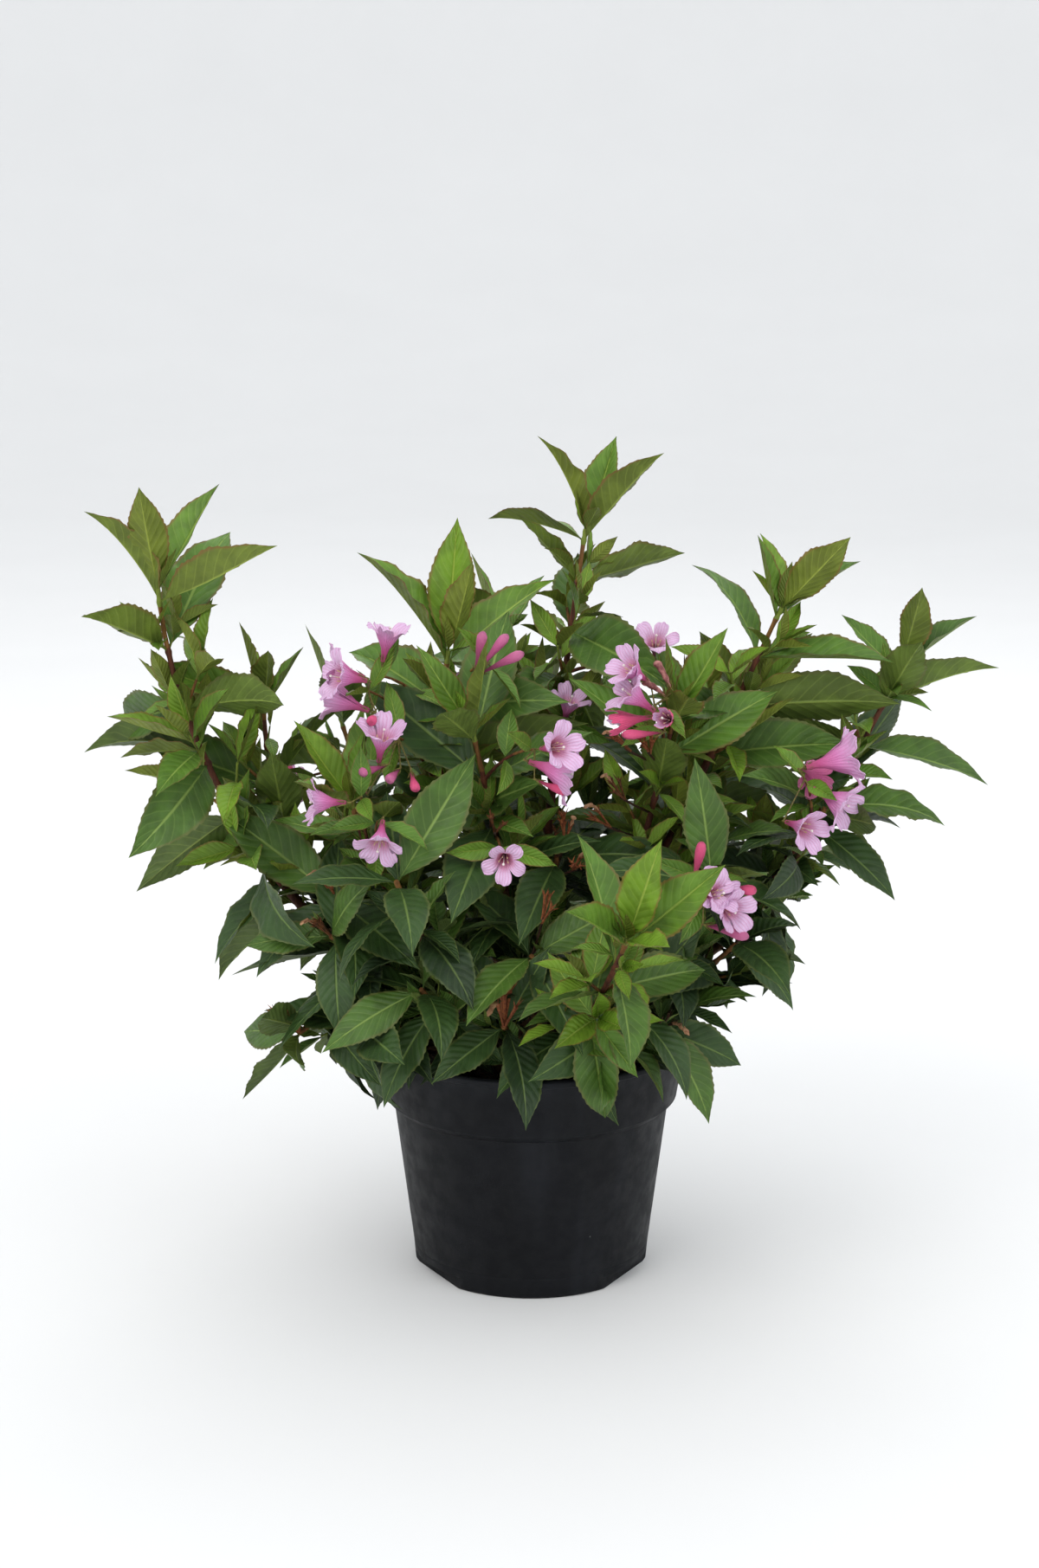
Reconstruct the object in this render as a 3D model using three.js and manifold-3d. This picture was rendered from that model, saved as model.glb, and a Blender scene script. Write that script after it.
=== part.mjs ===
// A weigela in flower in a round nursery pot. Millimetres, +Z up, origin at the centre of the pot's foot.
// Canes rise from the soil and side shoots fork from them. A cane or bough ends where its leaves begin. From
// there a mass carries on, all one solid: a leafy stem, its side twigs, pairs of leaves, clusters of blossom.
import * as THREE from "three";
import { mergeVertices } from "three/addons/utils/BufferGeometryUtils.js";
import Module from "manifold-3d";

const wasm = await Module();
wasm.setup();

// ---- Driving sizes

const GAP = 0.3; // between pieces that touch
const ROUND_SIDES = 36; // of the pot and the soil

const POT = {
  height: 195,
  rimRadius: 130,
  rimWidth: 4,
  rimDepth: 3,
  lipHeight: 7,
  lipEdge: 1.5,
  collarRadius: 127,
  collarFootRadius: 120,
  collarHeight: 50,
  stepHeight: 6,
  bodyRadius: 113,
  baseRadius: 96,
  baseEdge: 2,
  wall: 2.6,
  floor: 4,
  notches: 3,
  notchDepth: 8,
  notchHeight: 11,
};
const SOIL_LEVEL = 172;

const CANE = { sides: 6, steps: 6, radius: 2.2, thickening: 0.0066, flare: 0.5, flareHeight: 9 };
const STEM = { sides: 4, steps: 6, tipRadius: 1.5, fork: 0.8, leafless: 0.2 };
const TWIG = { sides: 3, steps: 2, radius: 1.5, tipRadius: 0.9, arch: 0.2 };
const CURVE_STEPS = 40; // of every stem's middle line

const LEAF = {
  length: 108,
  width: 0.54, // of the length
  thickness: 0.018, // of the length
  widest: 0.44, // of the way along
  root: 0.3, // of its stem's radius, from the stem's middle
  lifts: [0, 16, 32, 48], // degrees that a leaf is raised, in turn, until it lies clear
};
// From the tip down, pair by pair: the way from the pair above, the leaves' length against the longest, their
// angle from the stem, how far they bend down, and how far their faces turn from the tip to the sky.
const PAIRS = [
  { below: 2, length: 0.82, spread: 14, droop: 12, skyward: 0.0 },
  { below: 8, length: 0.94, spread: 34, droop: 26, skyward: 0.1 },
  { below: 36, length: 1.0, spread: 56, droop: 44, skyward: 0.3 },
  { below: 43, length: 1.0, spread: 66, droop: 58, skyward: 0.5 },
  { below: 43, length: 0.94, spread: 72, droop: 66, skyward: 0.6 },
  { below: 43, length: 0.88, spread: 76, droop: 72, skyward: 0.7 },
];
// How far leaves differ: degrees round the stem and round their own midribs, and shares of the other sizes.
const JITTER = { azimuth: 24, roll: 70, spread: 0.3, droop: 0.6, length: 0.28, vigour: 0.5 };
// A spent shoot has flowered. Its leaves stand closer together, and the last ones already spread.
const AGES = {
  young: { leaf: 1, closer: 1, firstPair: 0, color: 0x5f8a34 },
  grown: { leaf: 0.9, closer: 1, firstPair: 0, color: 0x3f6a35 },
  spent: { leaf: 0.82, closer: 0.72, firstPair: 2, color: 0x2c4f33 },
};
const SIDE_TWIG = {
  firstPair: 3, // that has side twigs in its axils
  chance: 0.16,
  length: 30,
  growth: 8, // longer by this from pair to pair
  longest: 58,
  spread: 42,
  rise: 0.18, // of the length
  leaf: 0.5, // of the shoot's own
  secondPair: 0.4, // of the length below the tip
};

const BLOOM = { sides: 5, sink: 1, length: 36, mouth: 14, recess: 14, bud: 26, budWidth: 7, fan: 34 };

const PLASTIC = { color: 0x1d2024, roughness: 0.62 };
const SOIL = { color: 0x2a1c14, roughness: 1 };
const BARK = { color: 0x5d3a26, roughness: 0.85 };
const LEAF_ROUGHNESS = 0.6;

// ---- The plant, shoot by shoot

// A cane has its foot on the soil, at [x, y]. A side shoot leaves another shoot at a share of its length. The
// stem bends at a share of its reach, out, and of its rise, up. Its bare share is its cane or bough. phase is
// the azimuth of its first pair of leaves, and seed deals out how its leaves differ.
const USUAL = { out: 0.6, up: 0.5, bare: 0, phase: 35, seed: 7 };
const YOUNG = {
  left_leader: {
    foot: [-38, -8], tip: [-293, -32, 568], out: 0.93, up: 0.43, bare: 0.38, leaf: 1.11, seed: 84,
  },
  centre_left_leader: {
    foot: [-24, -14], tip: [-66, -16, 516], out: 1.58, up: 0.43,
    bare: 0.36, phase: 165, leaf: 1.05, seed: 10,
  },
  tall_leader: {
    foot: [4, 14], tip: [44, 50, 604], out: 0.1, up: 0.47, bare: 0.38, phase: 75, leaf: 0.94, seed: 29,
  },
  right_leader: {
    foot: [24, 4], tip: [198, -12, 550], out: 0.44, up: 0.42, bare: 0.36, phase: 135, seed: 83,
  },
  far_right_leader: {
    foot: [44, 14], tip: [296, -8, 506], out: 0.67, up: 0.38, bare: 0.38, phase: 15, leaf: 0.87, seed: 75,
  },
  front_leader: {
    foot: [16, -38], tip: [70, -228, 338], out: 0.5, up: 0.39, bare: 0.3, phase: 85, leaf: 0.94, seed: 61,
  },
  back_leader: { foot: [-4, 36], tip: [-24, 180, 498], out: 0.56, up: 0.39, bare: 0.38, phase: 30, seed: 83 },
  left_inner: {
    from: "left_leader", at: 0.24, tip: [-214, -8, 476], out: 1, up: 0.4,
    bare: 0.2, phase: 150, leaf: 0.84, seed: 43,
  },
  left_centre: {
    from: "centre_left_leader", at: 0.2, tip: [-140, -88, 410], out: 0.8, up: 0.47,
    bare: 0.2, phase: 135, leaf: 0.8, seed: 71,
  },
  right_centre: { from: "right_leader", at: 0.2, tip: [112, -58, 474], bare: 0.2, leaf: 0.84, seed: 13 },
};
const GROWN = {
  centre: {
    foot: [-2, -24], tip: [-46, -80, 464], out: 0.32, up: 0.53, bare: 0.3, phase: 165, leaf: 0.95, seed: 92,
  },
  back_left: {
    foot: [-30, 22], tip: [-162, 136, 432], out: 0.62, up: 0.39,
    bare: 0.36, phase: 25, leaf: 0.95, seed: 57,
  },
  back_right: {
    foot: [28, 28], tip: [178, 138, 452], out: 0.64, up: 0.51, bare: 0.36, phase: 90, leaf: 0.95, seed: 50,
  },
};
const SPENT = {
  front_centre: {
    foot: [-6, -54], tip: [-22, -124, 238], out: 0.45, up: 0.8, bare: 0.3, phase: 150, leaf: 0.77, seed: 86,
  },
  front_right_low: {
    foot: [37, -50], tip: [60, -112, 233], out: 0.45, up: 0.9, bare: 0.3, phase: 120, seed: 87,
  },
  low_left: { foot: [-48, -24], tip: [-186, -78, 218], out: 0.63, up: 1.75, bare: 0.4, phase: 15, seed: 62 },
  right_mid: { foot: [58, -10], tip: [162, -76, 292], up: 0.6, bare: 0.34, phase: 0, leaf: 0.77, seed: 70 },
  right_front: {
    foot: [53, -32], tip: [140, -104, 348], out: 0.56, up: 0.44,
    bare: 0.3, phase: 120, leaf: 0.86, seed: 14,
  },
  centre_front: {
    foot: [-22, -42], tip: [-104, -134, 358], out: 0.62, bare: 0.3, phase: 120, leaf: 0.86, seed: 83,
  },
  back_low: { foot: [10, 52], tip: [12, 206, 262], out: 0.56, up: 0.94, bare: 0.36, phase: 90, seed: 40 },

  left_mid: {
    from: "low_left", at: 0.3, tip: [-158, -90, 302], out: 0.35, up: 0.66, phase: 135, leaf: 0.77, seed: 42,
  },
  left_low: {
    from: "left_leader", at: 0.15, tip: [-132, -70, 272], out: 0.68, up: 0.55,
    phase: 120, leaf: 0.86, seed: 75,
  },
  left_inside: {
    from: "left_leader", at: 0.27, tip: [-154, -68, 326], out: 0.5, up: 0.63,
    phase: 45, leaf: 0.86, seed: 10,
  },
  rim_left: {
    from: "low_left", at: 0.18, tip: [-134, -106, 230], out: 0.5, up: 0.96, phase: 0, leaf: 0.77, seed: 32,
  },
  front_left: {
    from: "centre_front", at: 0.16, tip: [-86, -122, 268], out: 0.54, up: 0.4, phase: 105, seed: 41,
  },
  front_middle: { from: "centre", at: 0.24, tip: [0, -112, 292], out: 0.68, up: 0.56, phase: 150, seed: 92 },
  front_right: {
    from: "right_front", at: 0.2, tip: [78, -120, 250], out: 0.58, up: 0.69, phase: 135, seed: 85,
  },
  right_low: {
    from: "right_mid", at: 0.24, tip: [102, -108, 232], out: 0.59, up: 0.82, phase: 50, leaf: 0.86, seed: 8,
  },
  right_inside: {
    from: "right_leader", at: 0.16, tip: [144, -22, 358], out: 0.79, up: 0.34, phase: 120, seed: 21,
  },
  right_inner: { from: "far_right_leader", at: 0.26, tip: [232, -50, 396], out: 0.7, up: 0.45, seed: 43 },
  middle: {
    from: "tall_leader", at: 0.24, tip: [20, -50, 356], out: 0.66, up: 0.4, phase: 30, leaf: 0.86, seed: 36,
  },
  back_middle: {
    from: "tall_leader", at: 0.27, tip: [62, 112, 372], out: 0.64, up: 0.48,
    phase: 165, leaf: 0.77, seed: 66,
  },
  back_left_low: {
    from: "back_left", at: 0.24, tip: [-160, 152, 276], up: 0.83, phase: 70, leaf: 0.86, seed: 65,
  },
  back_rim_left: { from: "back_low", at: 0.2, tip: [-86, 166, 244], up: 0.96, phase: 75, seed: 5 },
  back_rim_right: { from: "back_low", at: 0.3, tip: [122, 146, 236], up: 0.7, phase: 45 },
  back_right_low: {
    from: "back_right", at: 0.24, tip: [198, 134, 294], out: 0.57, up: 0.64, phase: 45, seed: 74,
  },
};

// Leaves that stand out, by shoot and by number from the tip down, two to a pair. Each has numbers of its own in
// place of drawn ones: azimuth round the stem, angle from it, roll and bend in degrees, and length.
const LEAVES = {
  left_leader: {
    0: [47, 5, 49, 31, 92], 1: [234, 31, 11, 29, 105], 2: [138, 9, 74, 58, 97], 3: [291, 60, -35, 20, 116],
    4: [237, 33, 35, 56, 136], 5: [45, 41, 30, 44, 113], 6: [282, 86, -72, 59, 107], 7: [122, 85, -75, 57, 111],
    8: [10, 93, -55, 87, 117], 9: [170, 54, 73, 99, 121], 10: [136, 96, 64, 74, 112], 13: [30, 99, 58, 80, 117],
    15: [134, 75, 17, 50, 124],
  },
  centre_left_leader: {
    0: [161, 11, -21, 15, 109], 2: [242, 37, 8, 37, 121], 3: [76, 19, -30, 54, 117], 4: [326, 66, 63, 52, 119],
    5: [127, 53, -24, 53, 123], 6: [74, 76, -2, 71, 119], 7: [264, 65, -63, 28, 124], 8: [143, 46, -29, 31, 106],
    9: [334, 60, 74, 27, 133],
  },
  tall_leader: {
    1: [274, 12, -13, 56, 93], 2: [168, 21, -9, 39, 104], 3: [344, 61, 7, 51, 95], 4: [304, 38, 29, 32, 78],
    5: [87, 66, -51, 20, 114], 6: [22, 27, -44, 51, 102], 7: [205, 93, 50, 54, 138], 8: [47, 86, -26, 84, 121],
  },
  right_leader: {
    0: [147, 24, -31, 14, 93], 1: [305, 30, -11, 40, 69], 2: [237, 31, -53, 22, 72], 3: [33, 30, -17, 36, 94],
    4: [289, 31, -7, 70, 103], 5: [119, 48, 26, 38, 114], 6: [70, 58, -75, 41, 134], 8: [118, 50, 69, 46, 115],
    11: [35, 60, -35, 81, 106],
  },
  far_right_leader: {
    1: [198, 18, -7, 24, 77], 2: [94, 14, 29, 40, 77], 3: [283, 64, -26, 17, 65], 4: [178, 37, -12, 25, 101],
    5: [39, 35, -72, 58, 103], 7: [93, 58, 24, 46, 111], 8: [3, 32, -10, 24, 111], 10: [117, 80, 32, 47, 92],
    12: [190, 72, 58, 81, 57], 13: [14, 63, -27, 63, 84], 15: [112, 87, -23, 65, 84],
  },
  front_leader: {
    1: [276, 15, -40, 22, 92], 2: [172, 23, -14, 36, 100], 6: [352, 67, 32, 61, 96], 7: [174, 60, 35, 35, 92],
    8: [100, 81, 17, 100, 93],
  },
  left_inner: {
    0: [134, 10, 57, 20, 66], 1: [348, 23, 19, 27, 64], 2: [250, 24, 2, 23, 59], 3: [67, 57, -61, 37, 99],
    6: [72, 51, -70, 46, 116], 8: [134, 78, 47, 75, 90], 9: [335, 40, 0, 9, 104], 11: [56, 83, -4, 54, 105],
  },
  left_centre: {
    0: [125, 14, -49, 20, 80], 2: [243, 33, -24, 10, 87], 3: [64, 31, -21, 25, 81], 4: [321, 44, -68, 44, 72],
  },
  right_centre: {
    4: [236, 51, -22, 30, 99], 5: [30, 45, 53, 36, 108], 6: [306, 35, 12, 62, 82],
  },
  centre: {
    0: [174, 16, -7, 17, 82], 2: [263, 41, 20, 35, 120], 4: [340, 59, 19, 19, 104], 5: [170, 41, -37, 17, 128],
  },
  front_centre: {
    0: [139, 51, 2, 34, 74], 2: [247, 67, 3, 45, 84], 3: [45, 53, -32, 63, 92], 6: [66, 50, 60, 51, 52],
  },
  front_right_low: {
    0: [115, 43, -43, 14, 89], 5: [117, 71, 57, 55, 83], 6: [25, 59, 11, 64, 87],
  },
  low_left: {
    0: [358, 50, 36, 54, 78], 1: [190, 62, 38, 30, 87], 2: [140, 42, 46, 9, 87], 4: [178, 86, -7, 68, 104],
    5: [15, 85, 4, 84, 75],
  },
  right_mid: {
    1: [160, 39, 39, 65, 101], 5: [358, 68, -49, 59, 91], 7: [68, 40, 17, 8, 78], 10: [72, 77, 63, 89, 76],
  },
  right_front: {
    3: [28, 63, 5, 61, 97],
  },
  centre_front: {
    1: [290, 51, 56, 25, 118],
  },
  left_mid: {
    5: [147, 61, 14, 30, 106],
  },
  left_inside: {
    1: [207, 55, -15, 25, 121], 7: [163, 64, -4, 66, 85],
  },
  front_left: {
    8: [124, 67, -50, 58, 82],
  },
  front_right: {
    0: [140, 58, -28, 43, 105],
  },
  right_low: {
    3: [304, 60, -62, 63, 88],
  },
  right_inside: {
    1: [299, 30, -52, 58, 114],
  },
  right_inner: {
    0: [61, 45, 16, 72, 107], 2: [111, 52, -72, 40, 83], 3: [326, 54, -3, 45, 102], 7: [148, 63, -56, 92, 75],
    8: [21, 80, 43, 86, 65], 15: [118, 64, -63, 91, 76],
  },
};

// on: the shoot that carries the cluster. down: from the shoot's tip to the twig's root. to: the twig's end,
// where open blooms and buds fan out round the direction face.
const BLOSSOM = [
  { on: "centre_left_leader", down: 96, to: [-127, -75, 495], face: [-0.85, -0.45, 0.3], open: 3, buds: 0 },
  { on: "centre_left_leader", down: 60, to: [-118, -60, 504], face: [0.25, -0.2, 1], open: 1, buds: 0 },
  { on: "centre_left_leader", down: 44, to: [-33, -71, 516], face: [0.6, -0.3, 0.75], open: 0, buds: 3 },
  { on: "centre_left_leader", down: 118, to: [-104, -75, 458], face: [0.1, -0.75, 0.5], open: 1, buds: 2 },
  { on: "left_centre", down: 58, to: [-131, -116, 420], face: [-0.9, -0.3, -0.1], open: 1, buds: 0 },
  { on: "left_centre", down: 80, to: [-118, -130, 404], face: [0, -0.7, -0.7], open: 1, buds: 0 },
  { on: "centre", down: 96, to: [-24, -108, 377], face: [0, -0.95, -0.3], open: 1, buds: 0 },
  { on: "centre", down: 44, to: [2, -110, 456], face: [0.75, -0.6, 0.1], open: 2, buds: 1 },
  { on: "right_centre", down: 40, to: [94, -104, 489], face: [-0.8, -0.5, 0.1], open: 3, buds: 1 },
  { on: "tall_leader", down: 118, to: [94, 11, 493], face: [0.1, -0.25, 1], open: 1, buds: 0 },
  { on: "tall_leader", down: 150, to: [28, -5, 456], face: [0.1, -0.5, 0.8], open: 1, buds: 0 },
  { on: "right_inner", down: 30, to: [212, -86, 427], face: [0.85, -0.35, -0.05], open: 3, buds: 0 },
  { on: "right_front", down: 36, to: [132, -142, 360], face: [0.55, -0.75, 0.3], open: 2, buds: 2 },
  { on: "back_leader", down: 62, to: [-66, 176, 440], face: [-0.5, 0.7, 0.3], open: 2, buds: 1 },
  { on: "back_leader", down: 108, to: [0, 176, 400], face: [0.4, 0.8, 0.1], open: 2, buds: 1 },
  { on: "back_right", down: 46, to: [186, 150, 400], face: [0.6, 0.6, 0.2], open: 2, buds: 1 },
  { on: "back_left", down: 50, to: [-196, 134, 376], face: [-0.7, 0.5, 0.1], open: 2, buds: 1 },
];

// ---- Solids from three.js geometry

function solidOf(geometry) {
  const bare = geometry.clone();
  bare.deleteAttribute("normal");
  bare.deleteAttribute("uv");
  const merged = mergeVertices(bare, 1e-4);
  return new wasm.Manifold(
    new wasm.Mesh({
      numProp: 3,
      vertProperties: merged.attributes.position.array,
      triVerts: new Uint32Array(merged.index.array),
    }),
  );
}

function geometryOf(solid) {
  const { vertProperties, triVerts } = solid.getMesh();
  const geometry = new THREE.BufferGeometry();
  geometry.setAttribute("position", new THREE.BufferAttribute(vertProperties, 3));
  geometry.setIndex(new THREE.BufferAttribute(triVerts, 1));
  const flat = geometry.toNonIndexed();
  flat.computeVertexNormals();
  return flat;
}

// Moves every vertex of a geometry to where place(x, y, z) says.
function reshaped(geometry, place) {
  const position = geometry.attributes.position;
  for (let i = 0; i < position.count; i++) {
    const p = place(position.getX(i), position.getY(i), position.getZ(i));
    position.setXYZ(i, p.x, p.y, p.z);
  }
  return geometry;
}

// The outer skin of the largest piece, which leaves out loose scraps and fills sealed hollows.
const largest = (solid) => solid.decompose().reduce((a, b) => (a.volume() > b.volume() ? a : b));

// A round solid from a profile of [radius, height] pairs, turned from three.js's Y axis to Z.
const turned = (profile) =>
  new THREE.LatheGeometry(
    profile.map(([r, z]) => new THREE.Vector2(r, z)),
    ROUND_SIDES,
  ).rotateX(Math.PI / 2);

// ---- Vectors and seeded chance

const UP = new THREE.Vector3(0, 0, 1);
const vec = (a) => new THREE.Vector3(...a);
const radians = THREE.MathUtils.degToRad;

// Draws numbers from 0 to 1, the same ones for the same name and seed.
function chanceOf(name, seed) {
  let state = [...name].reduce((sum, letter) => (Math.imul(sum, 31) + letter.charCodeAt(0)) >>> 0, seed);
  return () => {
    state = (state + 0x6d2b79f5) >>> 0;
    let t = Math.imul(state ^ (state >>> 15), state | 1);
    t ^= t + Math.imul(t ^ (t >>> 7), t | 61);
    return ((t ^ (t >>> 14)) >>> 0) / 4294967296;
  };
}

// A draw spread evenly about 0, over the width given.
const about = (chance, width) => (chance() - 0.5) * width;

// ---- Stems: a curve as short straight steps, with a radius that tapers from foot to tip

function stemAlong(foot, bend, tip, footRadius, tipRadius) {
  const points = new THREE.QuadraticBezierCurve3(foot, bend, tip).getPoints(CURVE_STEPS);
  const reached = [0];
  for (let i = 1; i < points.length; i++) reached.push(reached[i - 1] + points[i].distanceTo(points[i - 1]));
  const across = new THREE.Vector3(foot.y - tip.y, tip.x - foot.x, 0).normalize();
  return { points, reached, length: reached.at(-1), footRadius, tipRadius, across };
}

// The stem's point, direction and radius at a distance from its foot.
function alongStem(stem, distance) {
  const d = THREE.MathUtils.clamp(distance, 0, stem.length);
  let i = 1;
  while (i < stem.points.length - 1 && stem.reached[i] < d) i++;
  const step = stem.points[i].clone().sub(stem.points[i - 1]);
  const share = (d - stem.reached[i - 1]) / (stem.reached[i] - stem.reached[i - 1]);
  const direction = step.clone().normalize();
  const radius = THREE.MathUtils.lerp(stem.footRadius, stem.tipRadius, d / stem.length);
  return { point: stem.points[i - 1].clone().addScaledVector(step, share), direction, radius };
}

// The direction out of the stem at an azimuth round it, square to the way it runs.
function outOf(stem, direction, azimuth) {
  const first = stem.across.clone().addScaledVector(direction, -stem.across.dot(direction)).normalize();
  const second = new THREE.Vector3().crossVectors(first, direction);
  return first.multiplyScalar(Math.cos(azimuth)).addScaledVector(second, Math.sin(azimuth));
}

// A tapered cylinder bent along the stem from one distance to another. radiusAt changes how wide it is, and
// it has an edge at the azimuth turn.
function limbSolid(stem, from, to, { sides, steps }, radiusAt = (radius) => radius, turn = 0) {
  const cylinder = new THREE.CylinderGeometry(1, 1, 1, sides, steps);
  return solidOf(
    reshaped(cylinder, (x, y, z) => {
      const distance = from + (to - from) * (y + 0.5);
      const { point, direction, radius } = alongStem(stem, distance);
      const wide = Math.hypot(x, z) * radiusAt(radius, distance);
      return point.addScaledVector(outOf(stem, direction, turn + Math.atan2(z, x)), wide);
    }),
  );
}

function shootStem(shoot, parent) {
  const start = parent && alongStem(parent, parent.length * shoot.at);
  const foot = parent ? start.point : vec([...shoot.foot, SOIL_LEVEL]);
  const tip = vec(shoot.tip);
  const bend = new THREE.Vector3(
    THREE.MathUtils.lerp(foot.x, tip.x, shoot.out),
    THREE.MathUtils.lerp(foot.y, tip.y, shoot.out),
    THREE.MathUtils.lerp(foot.z, tip.z, shoot.up),
  );
  const radius = parent ? start.radius * STEM.fork : CANE.radius + CANE.thickening * foot.distanceTo(tip);
  return stemAlong(foot, bend, tip, radius, STEM.tipRadius);
}

// What keeps the flats of one limb a gap away from another.
const AROUND = GAP / Math.cos(Math.PI / CANE.sides);

// The bare part of a shoot's stem, which swells where it leaves the soil.
function boughSolid({ shoot, stem, bareTo }, extra = 0) {
  const flare = shoot.from ? 0 : CANE.flare;
  const wide = (radius, d) => radius * (1 + flare * Math.exp(-Math.max(d, 0) / CANE.flareHeight)) + extra;
  return limbSolid(stem, shoot.from ? 0 : -1, bareTo, CANE, wide);
}

// ---- The growth rule

const pairAt = (k) => PAIRS[Math.min(k, PAIRS.length - 1)];

// The distances from the tip down to each pair of leaves, closer together near the tip.
function pairDistances(leafyLength, scale) {
  const found = [];
  for (let k = 0, down = pairAt(0).below; down < leafyLength; ) {
    found.push(down);
    k++;
    down += pairAt(k).below * scale;
  }
  return found;
}

// A leaf or side twig leaves the stem at an azimuth round it and an angle from it.
function leaving(stem, at, azimuth, spread) {
  const outward = outOf(stem, at.direction, azimuth).multiplyScalar(Math.sin(spread));
  return outward.addScaledVector(at.direction, Math.cos(spread));
}

// A leaf: its axil, the way it sets off, the side that faces the light, its bend and its sizes.
function leafAt(stem, at, k, skyward, [azimuth, spread, roll, droop, length]) {
  const axil = { at, azimuth: radians(azimuth), k };
  const heading = leaving(stem, at, axil.azimuth, radians(spread));
  const facing = at.direction.clone().lerp(UP, skyward);
  facing.addScaledVector(heading, -facing.dot(heading)).normalize();
  facing.applyAxisAngle(heading, radians(roll));
  const root = at.point.clone().addScaledVector(heading, at.radius * LEAF.root);
  return { axil, root, heading, facing, droop: radians(droop), length, width: length * LEAF.width };
}

// Pairs of leaves on a stem or twig, each a quarter turn from the one before. A few have numbers of their own.
function growPairs(stem, { distances, firstPair, longest, phase, own = {} }, chance) {
  return distances.flatMap((down, k) =>
    [0, 1].map((side) => {
      const { length, spread, droop, skyward } = pairAt(k + firstPair);
      const drawn = [
        phase + 90 * k + 180 * side + about(chance, JITTER.azimuth),
        spread * (1 + about(chance, JITTER.spread)),
        about(chance, JITTER.roll),
        droop * (1 + about(chance, JITTER.droop)),
        longest * length * (1 + about(chance, JITTER.length)),
      ];
      return leafAt(stem, alongStem(stem, stem.length - down), k, skyward, own[2 * k + side] ?? drawn);
    }),
  );
}

// A side twig from a leaf's axil, with two pairs of smaller leaves of its own.
function sideTwig({ at, azimuth, k }, stem, longest, chance) {
  const { length, growth, firstPair, secondPair, spread, rise, leaf } = SIDE_TWIG;
  const reach = Math.min(length + growth * (k - firstPair), SIDE_TWIG.longest);
  const way = leaving(stem, at, azimuth, radians(spread)).multiplyScalar(
    reach * (1 + about(chance, JITTER.vigour)),
  );
  const bend = at.point.clone().addScaledVector(way, 0.5);
  const tip = at.point.clone().add(way).addScaledVector(UP, reach * rise);
  const twig = stemAlong(at.point, bend, tip, TWIG.radius, TWIG.tipRadius);
  const distances = [PAIRS[0].below, reach * secondPair];
  const leafage = { distances, firstPair: 1, longest: longest * leaf, phase: 90 * chance() };
  return { twig, leaves: growPairs(twig, leafage, chance) };
}

// Everything that grows on one shoot, in a fixed order of draws.
function growth(shoot, stem) {
  const chance = chanceOf(shoot.name, shoot.seed);
  const longest = LEAF.length * shoot.leaf;
  const { closer, firstPair } = AGES[shoot.age];
  const distances = pairDistances(stem.length * (1 - (shoot.bare || STEM.leafless)), shoot.leaf * closer);
  const leafage = { distances, firstPair, longest, phase: shoot.phase, own: LEAVES[shoot.name] };
  const leaves = growPairs(stem, leafage, chance);
  const axils = leaves.map((leaf) => leaf.axil);
  const twiggy = axils.filter(({ k }) => k >= SIDE_TWIG.firstPair && chance() < SIDE_TWIG.chance);
  return { leaves, twigs: twiggy.map((axil) => sideTwig(axil, stem, longest, chance)) };
}

// The point a share of the way along a leaf's midrib, which bends evenly away from the light.
function midrib(leaf, share) {
  const ahead = (Math.sin(leaf.droop * share) / leaf.droop) * leaf.length;
  const below = ((1 - Math.cos(leaf.droop * share)) / leaf.droop) * leaf.length;
  return leaf.root.clone().addScaledVector(leaf.heading, ahead).addScaledVector(leaf.facing, -below);
}

// The twig and blooms of one cluster. Its blooms tilt away from the way it faces, all round.
function cluster(blossom, stem) {
  const at = alongStem(stem, stem.length - blossom.down);
  const end = vec(blossom.to);
  const bend = at.point.clone().lerp(end, 0.5);
  bend.addScaledVector(at.direction, at.point.distanceTo(end) * TWIG.arch);
  const twig = stemAlong(at.point, bend, end, TWIG.radius, TWIG.tipRadius);
  const face = vec(blossom.face).normalize();
  const side = new THREE.Vector3().crossVectors(face, UP).normalize();
  const count = blossom.open + blossom.buds;
  const tilt = count > 1 ? radians(BLOOM.fan) : 0;
  const blooms = [...Array(count).keys()].map((i) => {
    const off = side.clone().applyAxisAngle(face, (2 * Math.PI * (i + 0.25)) / count);
    const heading = face.clone().multiplyScalar(Math.cos(tilt)).addScaledVector(off, Math.sin(tilt));
    return { root: end, heading, open: i < blossom.open };
  });
  return { twig, blooms };
}

// ---- Solids of leaves and blooms

// Two triangles above and four below. Its poles are the root and tip; both edges and the keel are round it.
const LEAF_BLANK = {
  corners: [0, 1, 0, 0, -1, 0, 1, 0, 0, -0.5, 0, 0.87, -0.5, 0, -0.87],
  faces: [0, 4, 2, 0, 3, 4, 0, 2, 3, 1, 2, 4, 1, 4, 3, 1, 3, 2],
};

function leafSolid(leaf, extra = 0) {
  const middle = midrib(leaf, LEAF.widest);
  const across = new THREE.Vector3().crossVectors(leaf.heading, leaf.facing);
  const tip = midrib(leaf, 1);
  return solidOf(
    reshaped(new THREE.PolyhedronGeometry(LEAF_BLANK.corners, LEAF_BLANK.faces, 1), (x, y, z) => {
      if (y > 0.5) return tip;
      if (y < -0.5) return leaf.root;
      if (x > 0.5) return middle.clone().addScaledVector(leaf.facing, -leaf.length * LEAF.thickness - extra);
      const half = (-Math.sign(z) * leaf.width) / 2;
      return middle.clone().addScaledVector(across, half).addScaledVector(leaf.facing, extra);
    }),
  );
}

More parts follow.
